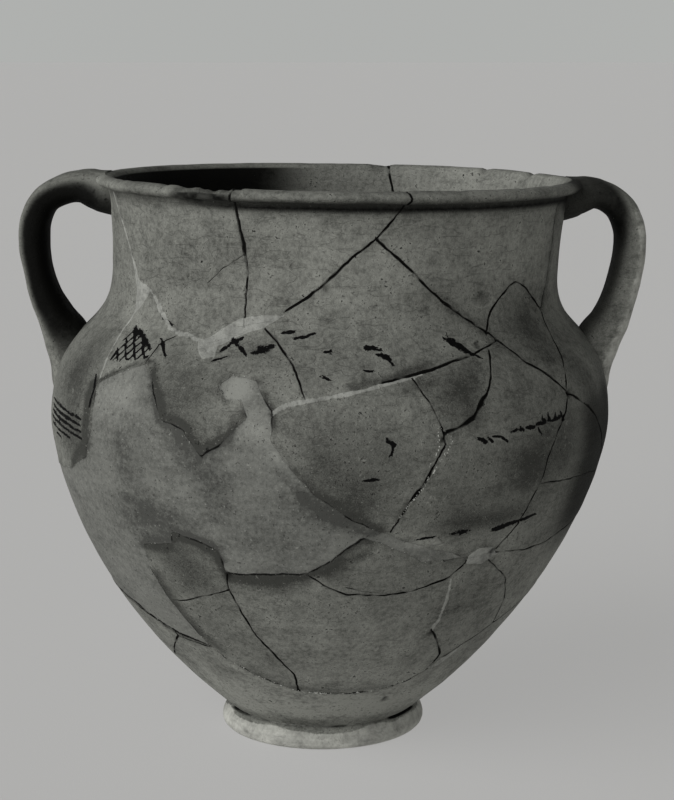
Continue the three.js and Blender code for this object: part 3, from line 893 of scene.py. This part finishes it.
def relief_of(at, lift, mend, cut_in):
    """How far each point moves outwards: waves, rings inside, lift and mends, less the cuts."""
    wave = 0.55 * at.cloud(58, 1) + 0.22 * at.cloud(19, 2) + 0.10 * at.cloud(7, 4)
    rings = 0.10 * np.sin(at.height / 1.15 + 2.2 * at.cloud(40, 5)) * ~at.outside
    relief = (wave - 0.45) + rings + lift + 0.28 * mend
    relief -= 0.35 * eased((at.height - LIP_START) / 4)
    relief *= np.where(at.underneath, 0, eased((at.height - 1.0) / 8.0))
    relief *= 1 - 0.75 * bell(at.height, FOOT_GROOVE[1], 3.5) * (at.radius < 68)
    return relief - cut_in


def tone_of(at, drawn, shade, beside_fill, chip):
    """Darker (below 0) and paler (above 0) areas of clay and plaster, some of them painted light
    and shade.
    """
    tone = (shade + 0.16 * drawn.most(drawn.near, "oval")) * at.outside
    # Darker on the clay beside the plaster: partly the broken edge's own darkening, partly painted
    # shade.
    tone -= 0.55 * beside_fill * bell(drawn.distance[drawn.kinds == "fill"].min(axis=0), 0, 3.2)
    for azimuth, height, wide, high, amount in SHADES:
        across, up = at.away(azimuth, height)
        spot = np.exp(-1.2 * ((across / wide) ** 2 + (up / high) ** 2) ** 1.2)
        tone += amount * spot * at.outside
    points = np.stack([at.u, at.v], axis=1)
    for amount, wide, *corners in SOFT_LINES:
        course = course_of(corners, wall_profile().outside)
        gap = distances(points, [Line("soft", wide, course, SOFT_SEED, 0.3)])[0][0]
        tone += amount * bell(gap, 0, wide) * at.outside
    # Painted shade on the lower face of the lip, stronger towards the right.
    lip_painted_shade = 0.40 + 0.45 * eased((at.turned + 40) / 40) * at.in_front
    tone -= lip_painted_shade * bell(at.height, 350.0, 3.0) * at.outside
    tone -= 0.35 * np.clip(chip / 1.5, 0, 1)
    # Painted light: the inside turns paler towards +X, where the left light falls on the far wall.
    return tone + 0.35 * eased((leaned(at.still)[:, 0] - 20) / 90) * ~at.outside


def stain_and_shadow_of(at, dark):
    """Dark dents, the painted shadow under the lip and the battered part of the lip."""
    # Painted shadow: a thin dark line under the lip, across the front from azimuth -40 onwards.
    under_lip_painted_shadow = bell(at.height, 349.0, 2.4) * at.outside * at.in_front
    stain_and_shadow = np.maximum(dark, under_lip_painted_shadow * eased((at.turned + 40) / 16))
    battered = bell(at.turned, -31, 8.5, 4) * bell(at.height, 353.0, 3.6) * at.outside
    return np.maximum(stain_and_shadow, battered * eased(0.6 + 1.6 * at.cloud(5.0, 22)))


def glaze_and_shade_of(at):
    """Dark painted shade inside, deepest on the left, and dark glaze on the right of the neck and
    belly.
    """
    # Painted shade: the inside gets the glaze colour, thin everywhere and thick on the left.
    sideways = at.still[:, 0] / LIP_MIDDLE[0] + 0.22 * at.cloud(70, 6)
    inside_painted_shade = 0.12 + 0.88 * eased((0.16 - sideways) / 0.85)
    glaze_and_shade = ~at.outside * inside_painted_shade * eased((357.5 - at.height) / 2.0)
    right_side = at.outside * eased((130 - at.turned) / 24)
    glaze_and_shade += 0.75 * right_side * eased((at.height - 332) / 14) * eased((at.turned - 62) / 15)
    flank = eased((at.turned - 46) / 20) * eased((at.height - 110) / 50)
    return glaze_and_shade + 0.62 * right_side * flank * eased((248 - at.height) / 26)


@functools.cache
def dressed_sheet():
    """The sheet's points in space, moved by the relief, and what each shows: a dict of fields."""
    points, faces, plaster, loop_count = flat_sheet()
    at = Places(points)
    drawn = Drawn(points)
    in_fill = np.zeros(len(points), bool)
    in_fill[faces[plaster]] = True
    in_fill[:2 * loop_count] = False
    smear = np.zeros(len(points))
    for outline in SMEARS:
        flat = course_of(outline, wall_profile().outside)
        smear[inside_outline(at.u, at.v, flat)] = 1
    patchy = np.clip(0.42 + 1.1 * at.cloud(17, 31) + 0.6 * at.cloud(5, 32), 0.08, 1)
    joint_and_shade = joints_and_groove_shade_of(at, drawn, patchy)
    mend = np.maximum(drawn.most(drawn.near, "mend"), smear)
    crumbs = np.maximum(drawn.most(drawn.crumbs, "bits"),
                        0.45 * drawn.most(drawn.crumbs, "mend", "fill"))
    lift, shade = sherds(faces, drawn.between_sherds())
    lift[in_fill] = FILL_LIFT
    shade[in_fill] = 0
    chip, dent, dark = chips_and_dents(at)
    relief = relief_of(at, lift, mend, drawn.depth() + chip + dent)
    beside_fill = np.clip(1.3 * patchy, 0.2, 1) * ~in_fill
    bare = eased((13.8 + 2.0 * at.cloud(16, 35) - at.height) / 2.8) * at.outside
    return {
        "points": leaned(at.still + at.outward * relief[:, None]),
        "faces": faces, "plaster": plaster, "loop_count": loop_count,
        "fields": {"joint_and_shade": joint_and_shade * (1 - 0.8 * smear), "mend": mend,
                   "paint": drawn.most(drawn.near, "stroke"),
                   "tone": tone_of(at, drawn, shade, beside_fill, chip),
                   "stain_and_shadow": stain_and_shadow_of(at, dark), "bare": bare, "crumbs": crumbs,
                   "glaze_and_shade": glaze_and_shade_of(at)},
    }


# ---- meshes


def make_piece(name, points, faces, fields=None, flat_from=None):
    """A mesh object in metres, smooth up to a face, with one number per point for each field."""
    mesh = bpy.data.meshes.new(name)
    mesh.vertices.add(len(points))
    mesh.vertices.foreach_set("co", (points * MM).astype(np.float32).ravel())
    mesh.loops.add(faces.size)
    mesh.loops.foreach_set("vertex_index", faces.astype(np.int32).ravel())
    mesh.polygons.add(len(faces))
    starts = np.arange(len(faces), dtype=np.int32) * faces.shape[1]
    mesh.polygons.foreach_set("loop_start", starts)
    smooth = np.ones(len(faces), bool)
    smooth[flat_from:] = flat_from is None
    mesh.polygons.foreach_set("use_smooth", smooth)
    for title, values in (fields or {}).items():
        attribute = mesh.attributes.new(title, "FLOAT", "POINT")
        attribute.data.foreach_set("value", values.astype(np.float32))
    mesh.update(calc_edges=True)
    mesh.validate()
    piece = bpy.data.objects.new(name, mesh)
    bpy.context.scene.collection.objects.link(piece)
    return piece


def only_used(points, faces, fields):
    """Drops the points that no face uses."""
    used, faces = np.unique(faces, return_inverse=True)
    return points[used], faces.reshape(-1, 3), {k: f[used] for k, f in fields.items()}


def edge_wall(loop_count, outwards):
    """Triangles that join the fill's outside loop to its inside loop, one pair at a time."""
    near = np.arange(loop_count)
    following = (near + 1) % loop_count
    far = near + loop_count
    faces = np.concatenate([np.stack([near, following, following + loop_count], axis=1),
                            np.stack([near, following + loop_count, far], axis=1)])
    return faces if outwards else faces[:, ::-1]


def pole_caps(points, faces, fields):
    """Closes the small round holes at the ends of the profile with a fan to their middles."""
    pairs = np.concatenate([faces[:, (0, 1)], faces[:, (1, 2)], faces[:, (2, 0)]])
    key = pairs[:, 0].astype(np.int64) * len(points) + pairs[:, 1]
    back = pairs[:, 1].astype(np.int64) * len(points) + pairs[:, 0]
    rim = pairs[~np.isin(key, back)]
    rim = rim[np.hypot(points[rim[:, 0], 0] - FOOT_OFFSET, points[rim[:, 0], 1]) < POLE_REACH]
    low = points[rim[:, 0], 2] < (RECESS_DEPTH + FLOOR_HEIGHT) / 2
    added = []
    for chosen in (rim[low], rim[~low]):
        middle = len(points)
        points = np.concatenate([points, points[chosen[:, 0]].mean(axis=0)[None]])
        fields = {k: np.append(f, f[chosen[:, 0]].mean()) for k, f in fields.items()}
        fan = np.stack([chosen[:, 1], chosen[:, 0], np.full(len(chosen), middle)], axis=1)
        added.append(fan)
    return points, np.concatenate([faces, *added]), fields


def catmull(values, share):
    """Uniform Catmull-Rom curve through the rows of values, share running from 0 to 1."""
    values = np.array(values, float)
    last = len(values) - 1
    place = share * last
    i = np.minimum(place.astype(int), last - 1)
    w = (place - i)[:, None]
    p0, p1, p2, p3 = (values[np.clip(i + shift, 0, last)] for shift in (-1, 0, 1, 2))
    v0, v1 = (p2 - p0) / 2, (p3 - p1) / 2
    return ((2 * p1 - 2 * p2 + v0 + v1) * w ** 3 + (-3 * p1 + 3 * p2 - 2 * v0 - v1) * w ** 2
            + v0 * w + p1)


def strap_points(stations, side, noise_seed, share, turn):
    """A strap handle's points: rounded sections of half sizes (h, k) carried along the path c(t).

    A section's point at turn a is c + n h |cos a|^p + y k |sin a|^p with the signs of the cosine
    and sine, n being the path's normal. Points that would come inside the wall stop in its middle.
    """
    path = catmull([s[:2] for s in stations], share)
    half = catmull([(s[2] / 2, s[3] / 2) for s in stations], share)
    tangent = unit(np.gradient(path, axis=0))
    waves = np.stack([np.cos(turn), np.sin(turn)])
    across, up = np.sign(waves) * np.abs(waves) ** SECTION_POWER
    out = half[:, :1] * across
    wide = half[:, 1:] * up
    radius = path[:, :1] - tangent[:, 1:] * out
    height = path[:, 1:] + tangent[:, :1] * out
    points = np.stack([side * radius, wide, height], axis=2).reshape(-1, 3)
    middle = np.stack([side * path[:, 0], 0 * path[:, 0], path[:, 1]], axis=1)
    outward = points - np.repeat(middle, len(turn), axis=0)
    outward /= np.linalg.norm(outward, axis=1)[:, None]
    bumps = (0.5 * cloud(points, 30, noise_seed) + 0.35 * cloud(points, 11, noise_seed + 1)
             + 0.14 * cloud(points, 4.5, noise_seed + 2) - 0.45)
    points += outward * bumps[:, None]

    inner = moved_in(whole_body(), WALL / 2)
    stop = np.interp(points[:, 2], inner[:, 1], inner[:, 0])
    stop = np.where(points[:, 2] > LIP_MIDDLE[1] - 2, LIP_MIDDLE[0], stop)
    reach = np.hypot(points[:, 0], points[:, 1])
    over = np.clip(points[:, 2] - HANDLE_TOP, 0, None)
    points[:, 2] -= over * (1 - eased((reach - LIP_MIDDLE[0]) / 9.0))
    points[:, :2] *= np.maximum(1, stop / reach)[:, None]
    return points


def tube_faces(along, around):
    """Triangles round a tube of rings of points, closed by a fan at either end."""
    j = np.arange(around)
    k = (j + 1) % around
    ring = np.arange(along - 1)[:, None] * around
    quads = np.stack([ring + j, ring + k, ring + around + k, ring + around + j], axis=2)
    quads = quads.reshape(-1, 4)
    last = (along - 1) * around
    count = along * around
    return np.concatenate([
        quads[:, (0, 1, 2)], quads[:, (0, 2, 3)],
        np.stack([k, j, np.full(around, count)], axis=1),
        np.stack([last + j, last + k, np.full(around, count + 1)], axis=1)])


def strap(stations, side, noise_seed, glaze_and_shade_along, paler, rubbed_and_lit, around=52, along=170):
    """One handle's points, triangles and fields."""
    share = np.linspace(0, 1, along)
    turn = -side * 2 * np.pi * np.arange(around) / around
    points = strap_points(stations, side, noise_seed, share, turn)
    ends = [points[:around].mean(axis=0), points[-around:].mean(axis=0)]
    points = np.concatenate([points, ends])
    facing = np.append(np.tile(np.cos(turn), along), [0, 0])
    down = np.append(np.repeat(share, around), [0, 1])
    start, amount = (np.interp(down, *np.array(glaze_and_shade_along).T[[0, i]]) for i in (1, 2))
    # Outer faces: painted light, a paler tone and, on the right handle, bare clay that is partly
    # wear.
    outer = eased(0.15 + facing * 1.5) * eased((down - 0.26) / 0.2)
    fields = dict.fromkeys(("joint_and_shade", "mend", "paint", "stain_and_shadow", "crumbs"), np.zeros(len(points)))
    fields["bare"] = rubbed_and_lit * outer
    # Inner faces: glaze and a darker tone, partly painted shade.
    fields["glaze_and_shade"] = amount * eased(start - facing)
    fields["tone"] = paler * outer - 0.25 * eased(-facing)
    return leaned(points), tube_faces(along, around), fields


# ---- materials


def maths(operation, swapped=False):
    """A method of Value that adds one Math node."""
    def method(self, other):
        first, second = (other, self) if swapped else (self, other)
        return self.graph.add("ShaderNodeMath", {"operation": operation}, {0: first, 1: second})
    return method


class Value:
    """One output socket; + - and * on it add Math nodes to its graph."""

    def __init__(self, graph, socket):
        self.graph = graph
        self.socket = socket

    __add__ = maths("ADD")
    __radd__ = maths("ADD", swapped=True)
    __sub__ = maths("SUBTRACT")
    __rsub__ = maths("SUBTRACT", swapped=True)
    __mul__ = maths("MULTIPLY")
    __rmul__ = maths("MULTIPLY", swapped=True)

    def clipped(self):
        """The value held between 0 and 1."""
        return self.graph.add("ShaderNodeMath", {"operation": "ADD", "use_clamp": True},
                              {0: self, 1: 0.0})

    def swing(self, amount):
        """How far a noise is from its middle, (n - 0.5) times the amount."""
        return (self - 0.5) * amount


class Graph:
    """Nodes of a material or world: add() makes any node and links or sets its inputs."""

    def __init__(self, tree):
        self.tree = tree

    def add(self, kind, settings, inputs, output=0):
        """A node's output, the node made with these settings and inputs."""
        node = self.tree.nodes.new(kind)
        for name, setting in settings.items():
            setattr(node, name, setting)
        for name, given in inputs.items():
            if isinstance(given, Value):
                self.tree.links.new(given.socket, node.inputs[name])
            else:
                node.inputs[name].default_value = given
        return Value(self, node.outputs[output])


class Finish(Graph):
    """A new material, ended by surface() in one Principled shader."""

    def __init__(self, name):
        self.material = bpy.data.materials.new(name)
        self.material.use_nodes = True
        super().__init__(self.material.node_tree)
        self.tree.nodes.clear()
        self.here = self.add("ShaderNodeTexCoord", {}, {}, "Object")

    def field(self, name):
        """One of the numbers stored on the points."""
        return self.add("ShaderNodeAttribute", {"attribute_name": name}, {}, "Fac")

    def noise(self, scale, detail=4.0, roughness=0.55, stretch=None):
        """Noise in space; stretch above 1 along an axis makes it finer that way."""
        place = self.here
        if stretch:
            place = self.add("ShaderNodeMapping", {}, {"Vector": place, "Scale": stretch})
        return self.add("ShaderNodeTexNoise", {}, {"Vector": place, "Scale": scale,
                        "Detail": detail, "Roughness": roughness}, "Fac")

    def hairline(self, scale, stretch, width):
        """Thin winding lines where a noise passes its middle: 1 where (n - 0.5)^2 is small."""
        apart = self.noise(scale, 2.0, 0.5, stretch) - 0.5
        return 1 - self.above(apart * apart * 1000, 0.1 * width, width)

    def mix(self, share, first, second):
        """The first colour at share 0, the second at 1."""
        return self.add("ShaderNodeMix", {"data_type": "RGBA"},
                        {0: share, 6: first, 7: second}, 2)

    def above(self, value, start, end):
        """0 below start, 1 above end, smooth between."""
        return self.add("ShaderNodeMapRange", {"interpolation_type": "SMOOTHSTEP"},
                        {"Value": value, "From Min": start, "From Max": end})

    def layers(self, colour, *over):
        """The colour under others, each given with its share."""
        for share, other in over:
            colour = self.mix(share, colour, other)
        return colour

    def surface(self, colour, roughness, bump, distance, specular, glow=0.0):
        """The finished material; the bump's distance is in metres."""
        normal = self.add("ShaderNodeBump", {}, {"Height": bump, "Strength": 1.0,
                                                 "Distance": distance})
        shader = self.add("ShaderNodeBsdfPrincipled", {}, {
            "Base Color": colour, "Roughness": roughness, "Normal": normal,
            "Specular IOR Level": specular, "Emission Color": (1.0, 0.995, 0.98, 1),
            "Emission Strength": glow})
        output = self.tree.nodes.new("ShaderNodeOutputMaterial")
        self.tree.links.new(shader.socket, output.inputs["Surface"])
        return self.material


def tinted(colour, factor):
    """The colour times a factor, with its opacity kept."""
    return (*(min(1.0, part * factor) for part in colour[:3]), 1.0)


def joint_and_crumbs(finish, colours, joint_and_shade, grain):
    """Layers that clay and plaster share: dark joints, and crumbs of plaster on top."""
    crumbs = finish.field("crumbs") * 0.24 + finish.noise(800.0, 3.0, 0.6)
    return ((finish.above(joint_and_shade + grain.swing(0.5), 0.30, 0.75), tuple(colours.joint_and_shade)),
            (finish.above(crumbs, 0.76, 0.80) * 0.85, tinted(colours.plaster, 1.9)))


def worn_clay(colours):
    """Fired clay under a thin worn glaze: mottled, speckled, dark joints, pale mends, painted
    light and shade.
    """
    finish = Finish("worn_clay")
    broad = finish.noise(14.0, 3.0)
    mottle = finish.noise(60.0, 5.0, 0.62)
    grain = finish.noise(330.0, 5.0, 0.65)
    grit = finish.noise(1300.0, 2.0, 0.5)
    turned = finish.noise(1.0, 3.0, 0.6, (14.0, 14.0, 210.0))
    worn = finish.above(mottle + broad.swing(0.6), 0.50, 0.62)
    spots = finish.above(finish.noise(640.0, 3.0, 0.6), 0.62, 0.68) * (0.25 + worn * 0.75)
    flecks = finish.above(finish.noise(760.0, 2.0, 0.5), 0.67, 0.72)
    scratches = (finish.hairline(46.0, (1.0, 1.0, 0.45), 0.045) * worn
                 * finish.above(grain, 0.49, 0.55))
    scrapes = finish.hairline(70.0, (0.5, 0.5, 1.6), 0.060) * (1 - worn)

    joint_and_shade = finish.field("joint_and_shade")
    stain_and_shadow = finish.field("stain_and_shadow")
    tone = finish.field("tone") * (0.3 + mottle * 1.1 + grain.swing(1.6))
    shade = (0.48 + tone + broad.swing(0.75) + mottle.swing(0.90) + grain.swing(1.15)
             + turned.swing(0.24) + grit.swing(0.60)).clipped()
    stroke = finish.above(finish.field("paint") + grain.swing(2.6) + mottle.swing(0.8),
                          0.34, 0.56)
    # Glaze colour, also painted shade inside and on the handles' inner faces.
    glaze_and_shade_coat = finish.above(finish.field("glaze_and_shade") + mottle.swing(0.35) + grain.swing(0.3),
                        0.08, 0.95)
    glaze_and_shade_colour = finish.mix(mottle, tinted(colours.glaze_and_shade, 0.7), tinted(colours.glaze_and_shade, 1.5))
    # Bare clay, on the right handle's outer face partly painted light.
    bare = finish.above(finish.field("bare") + grain.swing(0.5) + turned.swing(0.6), 0.30, 0.65)
    streaks = (0.6 + mottle.swing(2.0) + grain.swing(1.2) + turned.swing(1.0)).clipped()
    foot = finish.mix(streaks, tinted(colours.bare_clay, 0.45), tinted(colours.bare_clay, 1.12))
    mend = finish.above(finish.field("mend") + grain.swing(1.5) + mottle.swing(0.9), 0.35, 0.65)
    chalk = finish.mix((0.5 + mottle.swing(1.8) + grain.swing(1.4)).clipped(),
                       tinted(colours.plaster, 0.55), tinted(colours.plaster, 1.3))
    clay = finish.layers(
        finish.mix(shade, tinted(colours.clay, 0.30), tinted(colours.clay, 1.72)),
        (scratches * 0.35, tinted(colours.clay, 2.0)),
        (scrapes * 0.35, tinted(colours.clay, 0.4)),
        (flecks * 0.30, tinted(colours.clay, 2.0)),
        (spots * 0.75, tinted(colours.clay, 0.22)),
        (stroke, tuple(colours.paint)),
        (glaze_and_shade_coat, glaze_and_shade_colour),
        (bare, foot),
        (mend * 0.9, chalk),
        # Dark dents and the battered lip in the joint colour, with the painted shadow under the
        # lip.
        ((stain_and_shadow + grain.swing(0.8) * stain_and_shadow).clipped(), tuple(colours.joint_and_shade)),
        *joint_and_crumbs(finish, colours, joint_and_shade, grain))
    bump = (grain * 0.5 + mottle * 0.6 + grit * 0.22 + turned * 0.15 - spots * 0.35
            - scratches * 0.12 - scrapes * 0.2)
    roughness = 0.80 - shade * 0.10 + joint_and_shade * 0.1
    return finish.surface(clay, roughness, bump, 0.0008, 0.06)


def brushed_plaster(colours):
    """Toned plaster: pale, thinly painted in dark brushed patches, with pits and flecks."""
    finish = Finish("brushed_plaster")
    broad = finish.noise(18.0, 3.0)
    brushed = finish.noise(60.0, 5.0, 0.65, (1.0, 1.0, 2.6))
    grain = finish.noise(380.0, 4.0, 0.6)
    grit = finish.noise(1300.0, 2.0, 0.5)
    pits = finish.above(finish.noise(560.0, 3.0, 0.6), 0.65, 0.70)
    flecks = finish.above(finish.noise(760.0, 2.0, 0.5), 0.69, 0.73)
    shade = (0.52 + finish.field("tone") * 1.2 + broad.swing(0.9) + brushed.swing(0.85)
             + grain.swing(0.95) + grit.swing(0.5)).clipped()
    plaster = finish.layers(
        finish.mix(shade, tinted(colours.fill, 0.38), tinted(colours.fill, 1.5)),
        (finish.above(broad + brushed.swing(0.9), 0.56, 0.70) * 0.45, tinted(colours.clay, 0.72)),
        (flecks * 0.4, tinted(colours.fill, 2.2)),
        (pits * 0.7, tinted(colours.clay, 0.3)),
        *joint_and_crumbs(finish, colours, finish.field("joint_and_shade"), grain))
    bump = grain * 0.5 + brushed * 0.8 - pits * 0.7
    return finish.surface(plaster, 0.92 - shade * 0.06, bump, 0.0006, 0.2)


def table_paper(colours, glow):
    """Pale matt paper, evenly lit from below so that shadows on it are faint."""
    finish = Finish("table_paper")
    grain = finish.noise(900.0, 2.0)
    colour = finish.mix(grain, tinted(colours.floor, 0.985), tinted(colours.floor, 1.015))
    return finish.surface(colour, 0.95 + grain.swing(0.02), grain, 0.0001, 0.1, glow)


# ---- settings


def colour_of(name, text, *parts):
    """A colour among the settings."""
    return bpy.props.FloatVectorProperty(name=name, description=text, subtype="COLOR", size=4,
                                         min=0, max=1, default=(*parts, 1))


def number_of(name, text, default, **more):
    """A number among the settings."""
    return bpy.props.FloatProperty(name=name, description=text, default=default, **more)


class KraterColours(bpy.types.PropertyGroup):
    """Colours of the finishes, before mottling and wear."""

    clay: colour_of("Clay", "Worn glazed clay of the body and handles", 0.158, 0.160, 0.144)
    # Bare clay is also laid, partly as painted light, on the right handle's outer face.
    bare_clay: colour_of("Bare clay", "Foot ring and chipped places", 0.42, 0.42, 0.385)
    paint: colour_of("Paint", "What is left of the painted strokes", 0.003, 0.003, 0.003)
    # Glaze is also the painted shade inside and on the handles' inner faces.
    glaze_and_shade: colour_of("Glaze", "Dark glaze on the handles and inside", 0.0035, 0.0035, 0.003)
    # Joint is also the painted shade in the foot's groove and the painted shadow under the lip.
    joint_and_shade: colour_of("Joint", "Open joints and cracks", 0.004, 0.004, 0.0035)
    plaster: colour_of("Plaster", "Smears and crumbs of plaster", 0.30, 0.303, 0.28)
    fill: colour_of("Fill", "Toned plaster of the large fill", 0.160, 0.162, 0.1475)
    floor: colour_of("Floor", "Table under the krater", 0.16, 0.159, 0.156)


class KraterStage(bpy.types.PropertyGroup):
    """Light and camera."""

    floor_glow: number_of("Floor glow", "Light that the table gives off evenly", 0.35, min=0)
    sun_power: number_of("Sun power", "Strength of the soft light from the left", 2.7, min=0)
    sun_spread: number_of("Sun spread", "How wide and soft the left light is",
                          math.radians(65), subtype="ANGLE")
    room: number_of("Room light", "Brightness of the background", 0.432, min=0)
    side_glow: number_of("Side glow", "How much brighter the room is at its sides", 0.6, min=0)
    ceiling: number_of("Ceiling", "Brightness overhead, as a share of the room's", 0.15, min=0)
    lens: number_of("Lens", "Focal length of the camera", 90.0, unit="CAMERA")
    distance: number_of("Distance", "From the axis to the camera, level", 1.2765, unit="LENGTH")
    height: number_of("Height", "Of the camera above the floor", 0.43615, unit="LENGTH")
    tilt: number_of("Tilt", "How far the camera looks down", 0.172, subtype="ANGLE")


# ---- operators


def finished(piece, node, material):
    """Gives a piece its finish and its place in the frame."""
    piece.data.materials.append(material)
    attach(piece, "root")
    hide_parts(node)


def clay_finish(context):
    """The clay's material, made once."""
    return bpy.data.materials.get("worn_clay") or worn_clay(context.scene.krater_colours)


def shell(name, plaster, fewest):
    """The clay's or the plaster's part of the sheet, and its side of the edge between them."""
    sheet = dressed_sheet()
    points, faces, fields = sheet["points"], sheet["faces"], sheet["fields"]
    faces = faces[sheet["plaster"] == plaster]
    if not plaster:
        points, faces, fields = pole_caps(points, faces, fields)
    skin = len(faces)
    faces = np.concatenate([faces, edge_wall(sheet["loop_count"], not plaster)])
    points, faces, fields = only_used(points, faces, fields)
    if len(faces) < fewest:
        raise RuntimeError(f"{name} has only {len(faces)} faces")
    return make_piece(name, points, faces, fields, skin)


class KRATER_OT_clay_wall(bpy.types.Operator):
    """Foot, body, neck and lip with all their joints, left open where the plaster goes"""

    bl_idname = "krater.clay_wall"
    bl_label = "Clay wall"

    def execute(self, context):
        piece = shell("clay_wall", False, FEWEST_WALL_FACES)
        finished(piece, "vessel", clay_finish(context))
        return {"FINISHED"}


class KRATER_OT_handles(bpy.types.Operator):
    """Two strap handles from under the lip to the shoulder"""

    bl_idname = "krater.handles"
    bl_label = "Handles"

    def execute(self, context):
        for name, *given in HANDLES:
            piece = make_piece(name, *strap(*given))
            finished(piece, "vessel", clay_finish(context))
        return {"FINISHED"}


class KRATER_OT_plaster_fill(bpy.types.Operator):
    """The large plaster fill in the front of the body"""

    bl_idname = "krater.plaster_fill"
    bl_label = "Plaster fill"

    def execute(self, context):
        piece = shell("plaster_patch", True, FEWEST_FILL_FACES)
        material = brushed_plaster(context.scene.krater_colours)
        finished(piece, "plaster_fill", material)
        return {"FINISHED"}


def room_light(settings):
    """A room brighter at its sides and dim overhead: room (1 + side glow x^2), faded up z."""
    world = bpy.data.worlds.new("room")
    world.use_nodes = True
    graph = Graph(world.node_tree)
    way = graph.add("ShaderNodeTexCoord", {}, {}, "Generated")
    x, z = (graph.add("ShaderNodeSeparateXYZ", {}, {0: way}, part) for part in "XZ")
    fade = graph.add("ShaderNodeMapRange", {}, {"Value": z, "From Min": 0.06, "From Max": 0.55,
                                                "To Min": 1.0, "To Max": settings.ceiling})
    strength = (x * x * (settings.room * settings.side_glow) + settings.room) * fade
    background = world.node_tree.nodes["Background"].inputs
    world.node_tree.links.new(strength.socket, background["Strength"])
    background["Color"].default_value = (0.98, 1.0, 0.975, 1)
    return world


class KRATER_OT_stage(bpy.types.Operator):
    """Floor, soft light and camera"""

    bl_idname = "krater.stage"
    bl_label = "Stage"

    def execute(self, context):
        scene = context.scene
        settings = scene.krater_stage
        corners = np.array([(-1, -1, 0), (1, -1, 0), (1, 1, 0), (-1, 1, 0)]) * FLOOR_REACH
        floor = make_piece("floor", corners, np.array([(0, 1, 2), (0, 2, 3)]))
        floor.data.materials.append(table_paper(scene.krater_colours, settings.floor_glow))

        sun = bpy.data.lights.new("left_light", "SUN")
        sun.energy = settings.sun_power
        sun.angle = settings.sun_spread
        holder = bpy.data.objects.new("left_light", sun)
        holder.rotation_euler = Vector(SUN_SHINES).to_track_quat("-Z", "Y").to_euler()
        scene.collection.objects.link(holder)
        scene.world = room_light(settings)

        camera = bpy.data.cameras.new("camera")
        camera.lens = settings.lens
        camera.sensor_width = 36.0
        camera.sensor_fit = "AUTO"
        camera.clip_end = 200.0
        camera.dof.use_dof = False
        stand = bpy.data.objects.new("camera", camera)
        stand.location = (CAMERA_ASIDE, -settings.distance, settings.height)
        stand.rotation_euler = (math.pi / 2 - settings.tilt, 0, 0)
        scene.collection.objects.link(stand)
        scene.camera = stand
        scene.view_settings.view_transform = "Standard"
        return {"FINISHED"}


class KRATER_PT_panel(bpy.types.Panel):
    """Buttons that build the krater, and its colours and light"""

    bl_idname = "KRATER_PT_panel"
    bl_label = "Greek krater"
    bl_space_type = "VIEW_3D"
    bl_region_type = "UI"
    bl_category = "Krater"

    def draw(self, context):
        layout = self.layout
        for operator in BUILDERS:
            layout.operator(operator.bl_idname)
        for group in (context.scene.krater_colours, context.scene.krater_stage):
            box = layout.box()
            for name in group.bl_rna.properties.keys():
                if name not in ("rna_type", "name"):
                    box.prop(group, name)


BUILDERS = (KRATER_OT_clay_wall, KRATER_OT_handles, KRATER_OT_plaster_fill, KRATER_OT_stage)
CLASSES = (KraterColours, KraterStage, *BUILDERS, KRATER_PT_panel)


def register():
    for item in CLASSES:
        bpy.utils.register_class(item)
    bpy.types.Scene.krater_colours = bpy.props.PointerProperty(type=KraterColours)
    bpy.types.Scene.krater_stage = bpy.props.PointerProperty(type=KraterStage)


def unregister():
    del bpy.types.Scene.krater_stage
    del bpy.types.Scene.krater_colours
    for item in reversed(CLASSES):
        bpy.utils.unregister_class(item)


def main():
    """Builds the krater and its stage."""
    register()
    bpy.ops.krater.clay_wall()
    bpy.ops.krater.handles()
    bpy.ops.krater.plaster_fill()
    bpy.ops.krater.stage()


if __name__ == "__main__":
    main()
